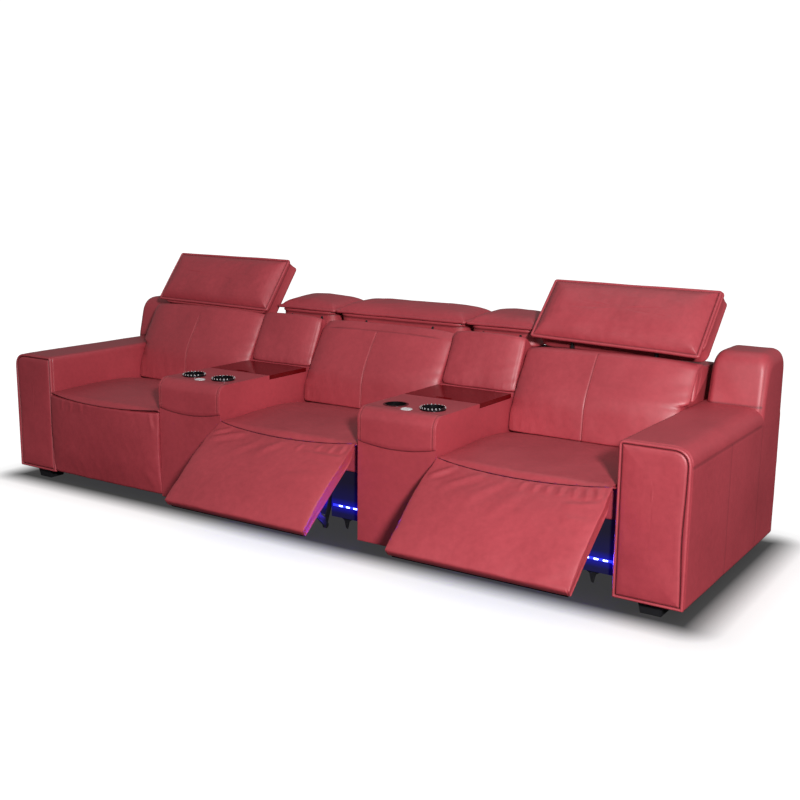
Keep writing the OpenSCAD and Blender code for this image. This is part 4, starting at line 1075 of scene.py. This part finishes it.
def build_pad(word):
    """Footrest pad: rings over the width, with folds, puckers at the seam and tucks at the lower corners.
    Yc and Zc are a point's place on the closed pad, and D its distance from the seam."""
    u, angle = stations(230, 2.2), OPEN[word]
    s = seam_point(u)[:, None]
    loop = soft_loop(pad_corners(u, word), 6, 9)
    Yc, Zc = np.moveaxis(PAD_CENTRE + turn(loop - PAD_CENTRE, -angle), -1, 0)
    pull = 4 * np.clip(1 - (Zc - 50) / 22, 0, 1) ** 2 + 1.2 * bump(Zc, 250, 120)
    pull = pull + (5 if angle else 1) * np.clip((Zc - 390) / 40, 0, 1)
    grid = carry(u[:, None] * (PAD_HALF - pull), loop)
    N = outward(grid, normals(grid))
    X = grid[..., 0]
    if angle:
        D = np.hypot(*np.moveaxis(loop - s, -1, 0))
        front = N[..., 2] > 0
    else:
        D = (s - loop)[..., 1]
        front = np.clip((26 - Yc) / 20, 0, 1)
    inside = np.clip((PAD_HALF - 4 - np.abs(X)) / 14, 0, 1)
    fine = 0.8 * ripple(grid, 61 + ord(word[0]), 150) + 0.35 * ripple(grid, 67, 52)
    pucker = 0.5 * bump(D, 9, 10) * np.sin(X / 8.5 + 2 * np.sin(X / 61)) * inside
    shift = front * (folds(X, D, FOLDS[word]) * inside + fine * np.clip(D / 60, 0, 1)) + pucker * front
    corner_x, corner_z = np.abs(X) - PAD_HALF + 26, 76 - Zc
    edge = np.hypot(np.clip(corner_x, 0, 99), np.clip(corner_z, 0, 99))
    tuck = 1.5 * np.clip((edge - 18) / 14, 0, 1) * np.sin(np.arctan2(corner_z, corner_x) * 16)
    grid = grid + N * (shift + tuck)[..., None]
    seam = np.hypot(*np.moveaxis(grid[..., 1:] - s, -1, 0))
    # Painted shade along the seam and along the pad's lower edge
    crease = 0.5 * bump(seam, 0, 2.4) + 0.5 * bump(Zc, 55, 2.5) * (Yc > 0)
    body = None if angle else f"{word}_footrest"
    return rings(f"{word}_footrest_leather", grid, body, LEATHER, SEATS[word], crease=crease, slot="leather")


for word in SEATS:
    pad = build_pad(word)
    if OPEN[word]:
        start = seam_point(np.array([1.0]))[0]
        end = PAD_CENTRE + turn(start - PAD_CENTRE, OPEN[word])
        start, end = placed([[0, *start], [0, *end]])
        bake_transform(pad)
    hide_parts(f"{word}_footrest_pad")
print("pad:", len(pad.data.polygons), "faces")

# %% [markdown]
# ## Back cushions
# A back cushion has a belly low down, leans back above it, and closes over the top of its frame.
# An upright seam, a little left of the middle, is sewn with two rows of paler thread. Seen from
# the front its upper corners are rounded, so the width is drawn in near the top. Sculpting could
# give each belly, but the three backs share most of their form and differ only at the top. So
# one function makes them all, and adds seams and wrinkles along the surface's normals.

# %% Back cushions
SHOULDER_H, LEAN, BACK_TOP_Y, BACK_HALF, SEAM_U = 728.0, 30.0, 762.0, 348.2, -0.06


def lean_y(z):
    """Front plane of the leaning back frames: as far ahead of their top as the height below it times tan."""
    return BACK_TOP_Y - (SHOULDER_H - z) * math.tan(math.radians(LEAN))


def back_rows(e, word):
    """Corners of a back cushion's side view, drawn in by e at its sides. Under a folded head pad the cushion
    ends in a seam and a band that slopes up behind it; under a raised pad it closes below the pad."""
    out = np.array([-0.866, 0.5])
    low = np.array([lean_y(531) - 0.8, 531])
    d = 50 * e
    belly = low[None] + out[None] * (106 - d)[:, None]
    top = {"left": [(688, 811, 36), (739, 783, 22)], "middle": [(673, 771, 10), (716, 802, 15)],
           "right": [(670, 766, 20), (706, 772, 16)]}[word]
    top = [(y + 0.75 * d, z - 0.45 * d, r) for y, z, r in top]
    return [(639.4, 439, 12), (541 + 0.3 * d, 434.6, 9), (545 + d * 0.45, 500, 60),
            (belly[:, 0], belly[:, 1] + 10, 90), *top, (758, 752, 10), (lean_y(714) - 0.8, 714, 8),
            (*low, 12), (639.4, 493, 30)]


def over_arm(word, X, Y, Z):
    """How far a back bulges over the arm beside it: 25 mm times the place across to the third power, and
    times the smooth step 3 t^2 - 2 t^3 above the path that the reclining back needs."""
    side = {"left": -1, "middle": 0, "right": 1}[word]
    outer = np.clip(side * X / BACK_HALF, 0, 1)
    lowest = np.maximum(604, 304 + (302 - 0.5 * (760 - Y)) / 0.866)
    rise = np.clip((Z - lowest) / 14, 0, 1)
    return 25 * side * outer**3 * rise * rise * (3 - 2 * rise)


def build_back(word):
    """Back cushion: rings over the width, which is drawn in by a quarter circle near the top. The seam is a
    hump over x, pressed in, and the side wrinkles are the upper halves of sine waves over the height."""
    u = stations(130, 2.0)
    u = np.sort(np.concatenate([u, SEAM_U + np.array([-0.012, -0.008, -0.004, 0, 0.004, 0.008, 0.012])]))
    e = ends(u, 3.4)
    loop = soft_loop(station_corners(u, back_rows(e, word)), 9, 10)
    high, low = np.clip((loop[..., 1] - 736) / 66, 0, 1), np.clip((470 - loop[..., 1]) / 32, 0, 1)
    pull = (26 if word == "middle" else 16) * (1 - np.sqrt(1 - high**2 * 0.98)) + 5 * low**2
    grid = carry(u[:, None] * (BACK_HALF - pull), loop)
    grid[..., 0] += over_arm(word, *np.moveaxis(grid, -1, 0))
    N = outward(grid, normals(grid))
    X, Y, Z = np.moveaxis(grid, -1, 0)
    front = np.clip(-N[..., 1] * 2, 0, 1)
    seam = bump(X, SEAM_U * BACK_HALF, 3.0) * front * (Z < 766)
    band = bump(np.hypot(Y - 674.5 - 22 * e[:, None], Z - 767.5 + 13 * e[:, None]), 0, 4.0) * (word == "middle")
    side = np.clip((np.abs(u[:, None]) - 0.78) / 0.2, 0, 1) * front
    waves = np.maximum(0, np.sin(Z / 9.0 + 3 * np.sin(Z / 57 + ord(word[0]))))
    wrinkle = 1.5 * side * waves * bump(Z, 560, 110)
    gather = 1.3 * np.maximum(0, np.sin(X / 7.5 + 2 * np.sin(X / 55))) * bump(Z, 462, 20) * front
    gather = gather * np.clip((np.abs(u[:, None]) - 0.35) * 2, 0, 1)
    soft = front * (1.2 * ripple(grid, 71 + ord(word[0]), 190) + 0.5 * ripple(grid, 73, 70))
    grid = grid + N * (soft + gather - wrinkle - 2.0 * seam - 1.8 * band)[..., None]
    # Painted shade in the seam, the side wrinkles and the middle back's band
    crease = 0.3 * seam + 0.2 * np.clip(wrinkle / 1.5, 0, 1) + 0.6 * band
    piece = rings(f"{word}_back_leather", grid, f"{word}_back", LEATHER, SEATS[word], crease=crease, slot="leather")
    middle = int(np.argmin(np.abs(u - SEAM_U)))
    sewn = (N[middle, :, 1] < -0.2) & (grid[middle, :, 2] < 764) & (grid[middle, :, 2] > 450)
    beside = [int(np.argmin(np.abs((u - SEAM_U) * BACK_HALF - step))) for step in (-6, 6)]
    runs = [(grid[i, sewn], N[i, sewn]) for i in beside]
    stitches(f"{word}_back_thread", runs, f"{word}_back", SEATS[word], 8.0, 5.4, 0.8)
    return piece


for word in SEATS:
    back = build_back(word)
    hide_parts(f"{word}_back_cushion")
print("back:", len(back.data.polygons), "faces")

# %% [markdown]
# The outer side of an outer back shows above the arm. A soft slab lies on it, 24 mm thick. Its rear
# upper corner has to stay clear of the headrest's shell, which folds back and down over it. The
# right headrest leans back a little already, so the right slab ends 7 mm sooner. It could be part
# of the cushion, but as a piece of its own it leaves the cushion's side view simple.

# %% Sides of the outer backs
def build_side(word):
    """Side of an outer back: a slab on the frame's side above the arm, whose outline comes in towards its
    outer face by 12 (1 - sqrt(1 - u^2.4)) mm."""
    u = stations(24, 2.0)
    edge = 12 * (1 - np.sqrt(np.clip(1 - np.clip(u, 0, 1) ** 2.4, 0, 1)))
    rear = 842 if word == "right" else 849
    loop = soft_loop(station_corners(u, [
        (676 + edge, 612 + 0.5 * edge, 10), (762, 657 + edge, 30), (rear - edge, 708 + 0.6 * edge, 12),
        (rear + 2 - edge, 734 - edge, 22), (708 + edge, 760 - edge, 30)]), 8, 8)
    x = 348 + 12 * (u[:, None] + 1)
    grid = carry(x, loop)
    N = outward(grid, normals(grid))
    grid = grid + N * (0.8 * ripple(grid, 77, 70) * np.clip(x - 352, 0, 8) / 8)[..., None]
    grid[..., 0] *= 1 if word == "right" else -1
    return rings(f"{word}_back_side", grid, f"{word}_back", LEATHER, SEATS[word], slot="leather")


for word in ("left", "right"):
    side = build_side(word)
print("side:", len(side.data.polygons), "faces")

# %% [markdown]
# ## Frames behind the cushions
# Behind each back cushion is an upholstered frame with a round lower edge and a level shelf on
# top, and a seam runs round it a few centimetres in from each side. A bevelled box would have the
# right size but look like wood. So the outline is carried over the width, eased at both sides, and
# the leather swells softly between the seams.

# %% Blocks carried along the width, for the back frames and the console backs
def block(name, rows, half, body, x, seam, seed, count=90):
    """Upholstered block: one side-view outline over the width, eased by 5 mm at both sides. A seam at a
    distance from each side is a groove, and the swelling between them goes with 1 - u^6."""
    u = stations(count, 1.9)[:, None]
    loop = soft_loop(np.asarray(rows, float)[None], 9.0, 10)
    away = loop - loop.mean(1, keepdims=True)
    away /= np.linalg.norm(away, axis=-1, keepdims=True)
    grid = carry(u * half, loop - away * (5.0 * ends(u, 60.0))[..., None])
    N = outward(grid, normals(grid))
    groove = bump(half - np.abs(u * half), seam, 2.4)
    swell = 1.5 * np.clip(1 - u**6, 0, 1) * (0.4 + 0.5 * ripple(grid, seed, 240)) + 0.3 * ripple(grid, seed + 1, 60)
    grid = grid + N * (0.4 + np.clip(swell, -0.5, 3) - 2.0 * groove)[..., None]
    # Painted shade in the seam grooves
    return rings(name, grid, body, SHELL_LEATHER, x, crease=0.7 * groove, slot="leather_shell")


BACK_BOTTOM, FRAME_Y, FRAME_REAR = 235.3, 640.0, 1038.0
for word in SEATS:
    outline = [[FRAME_Y + 55, BACK_BOTTOM, 36], [FRAME_REAR - 8, BACK_BOTTOM, 48], [FRAME_REAR, 340, 140],
               [FRAME_REAR - 22, SHOULDER_H, 44], [BACK_TOP_Y, SHOULDER_H, 12], [lean_y(531), 531, 60],
               [FRAME_Y, 461, 46], [FRAME_Y, BACK_BOTTOM + 60, 46]]
    skin = block(f"{word}_back_cover", outline, 348.6, f"{word}_back", SEATS[word], 62, 83 + ord(word[0]))
    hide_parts(f"{word}_back_frame")
for word in CONSOLES:
    outline = [[ROW_D - 4, CONSOLE_H + 0.6, 2], [ROW_D - 26, SHOULDER_H, 44], [BACK_TOP_Y, SHOULDER_H, 12],
               [lean_y(CONSOLE_H), CONSOLE_H + 0.6, 2]]
    skin = block(f"{word}_console_back_cover", outline, 173.4, "root", CONSOLES[word], 40, 91, count=60)
    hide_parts(f"{word}_console_back")
print("frames covered; the last skin has", len(skin.data.polygons), "faces")

# %% [markdown]
# ## Console back cushions
# The cushion above each lid is a small pillow with a rounded top. Its lower edge is pinched in a
# seam that lies on the lid, so it is drawn in there, and its corners are soft. A subdivided box
# could be pulled into this form by hand. It is made like the seats instead, from corners for every
# station, so that it meets the same leaning plane as the backs.

# %% Console back cushions
CUSHION_HALF = 172.6


def build_console_cushion(word):
    """Pillow on the console: its corners are drawn in by d over the width, and the width comes in by a
    quarter circle near the top and a parabola near the bottom."""
    u = stations(90, 2.0)
    d = 30 * ends(u, 3.0)
    rows = [(lean_y(CONSOLE_H) - 2.4, CONSOLE_H + 0.6, 4), (598 + 0.7 * d, CONSOLE_H + 0.8, 9),
            (601 + 0.8 * d, CONSOLE_H + 24 + 0.3 * d, 26), (619 + d, CONSOLE_H + 74, 80),
            (690 + 0.8 * d, 814 - 0.6 * d, 34), (744, 783 - 0.5 * d, 22),
            (759, 757 - 0.3 * d, 8), (lean_y(714) - 0.8, 714, 8)]
    loop = soft_loop(station_corners(u, rows), 8, 10)
    high, low = np.clip((loop[..., 1] - 758) / 56, 0, 0.99), np.clip((600 - loop[..., 1]) / 18, 0, 1)
    grid = carry(u[:, None] * (CUSHION_HALF - 22 * (1 - np.sqrt(1 - high**2)) - 3 * low**2), loop)
    N = outward(grid, normals(grid))
    X, _, Z = np.moveaxis(grid, -1, 0)
    front = np.clip(-N[..., 1] * 2, 0, 1)
    rim = bump(CUSHION_HALF - np.abs(X), 13, 3.0) * front
    soft = front * (1.1 * ripple(grid, 101 + ord(word[0]), 120) + 0.4 * ripple(grid, 103, 45))
    lower = 0.9 * bump(Z, 600, 14) * np.maximum(0, np.sin(X / 6.0)) * front
    grid = grid + N * (soft + lower - 0.5 * rim)[..., None]
    # Painted shade along the groove 13 mm in from each side
    return rings(f"{word}_console_cushion_leather", grid, "root", LEATHER, CONSOLES[word], crease=0.15 * rim,
                 slot="leather")


for word in CONSOLES:
    cushion = build_console_cushion(word)
    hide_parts(f"{word}_console_cushion")
print("console cushion:", len(cushion.data.polygons), "faces")

# %% [markdown]
# ## Headrests and head pads
# A head pad is a pillow whose border is sewn flat into a narrow flange, as a sofa cushion's is.
# The padded shell behind it has a like border, so the two read as a pair of lips when the
# headrest is folded. A blown-up cloth would pull the flange out of its even width, so both are
# bordered panels like the arms' fronts: worked out lying flat, put in the plane of the raised
# headrest, and turned about the hinge to the angle they rest at.

# %% Outlines of the head pads and their shells
HEAD_CORNER, HEAD_PIVOT = np.array([700.0, 821.0]), np.array([788.0, 721.0])
HEAD_L, HEAD_LEAN, HEAD_T, FOLD = 300.0, 38.0, 46.0, 45.0
SEAM_INSET, EDGE_RINGS, INNER_RINGS = 13.6, 34, 44
PAD = {"edge": [(30, 40.4), (9, 40.2), (3, 39.8), (0.5, 38), (0, 35), (0.3, 31.4), (1.8, 28.9), (4.6, 27.8),
                (8.2, 28.2), (10.8, 30.2), (12.5, 32.6), (SEAM_INSET, 31.6)],
       "rise": [(0, 31.6), (2.5, 27.4), (6, 22.6), (12, 16), (21, 8.6), (34, 0.8), (52, -6.2), (76, -11.4),
                (105, -14.4), (150, -16)],
       "material": LEATHER, "slot": "leather", "soft": 1.0, "side": 1}
SHELL = {"edge": [(60, 42.4), (14, 42.2), (5, 42.6), (1.4, 44.4), (0.2, 48), (0.5, 52), (2.6, 55.4), (5.4, 56.6),
                  (6.6, 58.4), (5.6, 61), (5.2, 70), (4.6, 82), (3, 95), (0.4, 106), (0, 111), (1.8, 115),
                  (6.4, 117.2), (SEAM_INSET, 117.8)],
         "rise": [(0, 117.8), (8, 118.6), (30, 119.6), (70, 120), (150, 120)],
         "material": SHELL_LEATHER, "slot": "leather_shell", "soft": 0.6, "side": -1}


def in_head_plane(a, b):
    """Side-view points of a raised headrest: its corner plus a times the way along the pad, up from its
    lower edge, plus b times the way through it to the back."""
    t = math.radians(HEAD_LEAN)
    along, through = np.array([math.sin(t), math.cos(t)]), np.array([math.cos(t), -math.sin(t)])
    return HEAD_CORNER + a[..., None] * along + b[..., None] * through


def soft_least(values, power):
    """Smooth least of positive arrays: the -1/power power of the sum of their -power powers."""
    return sum(np.maximum(v, 0.01) ** -power for v in values) ** (-1 / power)


print("pad edge:", len(PAD["edge"]), "points, shell edge:", len(SHELL["edge"]), "points")

# %% Bordered pillows for the head
def build_head(name, form, sides, ends_at, reach, fold, body, x, seed, droop, skew):
    """Bordered pillow. The edge profile gives the depth of the flange and its seam over the inset. Inside the
    seam the depth follows a rise over the smooth least distance to the four sides, so no ridge runs to a corner."""
    soft, side = form["soft"], form["side"]
    inward = SEAM_INSET + (0.45 * (ends_at[1] - ends_at[0]) - SEAM_INSET) * np.linspace(0.02, 1, INNER_RINGS) ** 1.7
    profile = np.concatenate([dense(form["edge"], EDGE_RINGS), np.stack([inward, 0 * inward], 1)])
    ring, depth, inset = bordered(*sides, *ends_at, reach, profile, 8.5)
    X, A = ring[..., 0], ring[..., 1]
    i, depth, order = inset[:, None], depth[:, None], np.arange(len(inset))[:, None]
    far = [np.minimum(X - sides[0], sides[1] - X) - SEAM_INSET, np.minimum(A - ends_at[0], ends_at[1] - A) - SEAM_INSET]
    away = soft_least([soft_least(far, 2.6), 1.3 * (i - SEAM_INSET) + 0 * X], 4.0)
    B = np.where(order < EDGE_RINGS, depth + 0 * X, np.interp(away, *np.array(form["rise"]).T))
    flat = np.stack([X, A, 0 * X], -1)
    inner = np.clip(away / 30, 0, 1)
    B = B - side * inner * soft * (1.6 * ripple(flat, seed, 170) + 0.5 * ripple(flat, seed + 1, 60))
    corner = np.clip(np.hypot(*[np.maximum(0, 60 - v) / 60 for v in far]) - 0.8, 0, 1)
    tuck = 0.9 * soft * corner * np.clip(away / 6, 0, 1) * np.sin(12 * np.arctan2(far[0] + 9, far[1] + 9))
    pleat = 0.4 * soft * bump(away, 5, 7) * (i > SEAM_INSET) * np.sin((X + A) / 7.0 + 2 * np.sin(X / 43))
    wave = 0.8 * soft * ripple(flat, seed + 2, 210) * bump(i, 3, 16)
    share = np.clip(A / HEAD_L, 0, 1.05)
    A = A - skew * X / 350 * (1 - 0.8 * share)
    B = B + side * tuck + pleat + wave + droop * share**1.2
    grid = carry(X, HEAD_PIVOT + turn(in_head_plane(A, B) - HEAD_PIVOT, fold))
    groove, rim = (12.6, 5.0) if side > 0 else (6.6, 3.0)
    near = order > 14 if side > 0 else np.abs(depth - 58) < 5
    # Painted shade in the seam groove, and a painted highlight on the rim
    crease = 0.8 * bump(i, groove, 1.8) * near - 0.3 * bump(i, rim, 2.5)
    return rings(name, grid, body, form["material"], x, crease=crease, slot=form["slot"])


# %% [markdown]
# Each headrest and head pad turns on two steel ears. A cylinder and a plate could be joined by a
# boolean, but the ear's side view is easily written down: half a circle round the pin, and two
# points at the shell. Four rings carry it through the ear, the outer two a little smaller, which
# gives it a bevelled edge.

# %% Ears of the hinges
def build_ears(name, at, fold, body, x):
    """Two steel ears on the hinge pins. The side view is half a circle round the pin and two points at the
    shell, and each ring through the ear is its middle plus the way from there, times a size."""
    a = np.linspace(np.pi, 2 * np.pi, 22)
    eye = HEAD_PIVOT + 13.8 * np.stack([np.cos(a), np.sin(a)], -1)
    root = in_head_plane(np.array([31.0, 26.0]), np.array([HEAD_T + 20, HEAD_T + 3]))
    outline = HEAD_PIVOT + turn(np.concatenate([eye, root]) - HEAD_PIVOT, fold)
    middle, size = outline.mean(0), np.array([0.94, 1, 1, 0.94])[:, None, None]
    loop = middle + (outline - middle) * size
    verts, faces = [], []
    for centre in (-at, at):
        v, f = closed_grid(carry(centre + np.array([[-5], [-4.4], [4.4], [5]]), loop))
        faces += [g + len(v) * len(verts) for g in f]
        verts.append(v)
    return add_mesh(name, placed(np.concatenate(verts), x), faces, body, STEEL, slot="black_steel", sharp=40)


print("ears turn about", HEAD_PIVOT)

# %% [markdown]
# Three rest positions occur in the photo: raised, raised but leaning back a little, and folded. A
# folded pad hangs by its own weight, so its free end droops. A raised pad's lower edge runs a
# little askew, and each position has its own lower edge, skew and length of shell.

# %% Head pads, their shells and the ears, in the positions of the photo
RESTS = {
    "raised": {"fold": 0.0, "lower": 8.0, "skew": 7.0, "shell": (2.0, HEAD_L + 6), "shell_skew": 7.0, "droop": 0.0},
    "leaning": {"fold": 8.0, "lower": -24.0, "skew": 14.0, "shell": (3.0, HEAD_L + 6), "shell_skew": 3.0, "droop": 0.0},
    "folded": {"fold": FOLD, "lower": 0.0, "skew": 0.0, "shell": (6.0, HEAD_L - 5), "shell_skew": 0.0, "droop": 24.0},
}
SEAT_RESTS = {"left": "raised", "middle": "folded", "right": "leaning"}


def build_head_pair(word, kind, rest, sides, shell_sides, body, x, ear):
    """Pad, shell and ears of one headrest or console head pad."""
    seed = 110 + ord(word[0]) + (7 if kind == "console" else 0)
    fold, droop = rest["fold"], rest["droop"]
    pad = build_head(f"{word}_{kind}_pillow", PAD, sides, (rest["lower"], HEAD_L), [15, 15, 15, 15], fold, body, x,
                     seed, droop, rest["skew"])
    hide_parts(f"{word}_{kind}_pad")
    reach = [64, 64, 20, 20] if rest is RESTS["folded"] else [64, 40, 20, 20]
    shell = build_head(f"{word}_{kind}_shell_cover", SHELL, shell_sides, rest["shell"], reach, fold, body, x,
                       seed + 3, droop, rest["shell_skew"])
    build_ears(f"{word}_{kind}_ears", ear, fold, body, x)
    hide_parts(f"{word}_{kind}_shell")


HEAD_HALF, CONSOLE_HEAD_HALF = 351.6, 173.6
for word, x in SEATS.items():
    sides = np.array([-HEAD_HALF, HEAD_HALF]) + {"left": [-24, 0], "middle": [0, 0], "right": [0, 20]}[word]
    shell_sides = sides + [9, 4 if word == "right" else -9]
    build_head_pair(word, "headrest", RESTS[SEAT_RESTS[word]], sides, shell_sides, f"{word}_headrest", x, 180.0)
for word, x in CONSOLES.items():
    sides = np.array([-CONSOLE_HEAD_HALF, CONSOLE_HEAD_HALF])
    build_head_pair(word, "console", RESTS["folded"], sides, sides + [9, -9], f"{word}_console_head", x, 90.0)
print("headrests:", len(SEATS) + len(CONSOLES), "pairs of pads and shells")

# %% The end
bpy.context.view_layer.update()
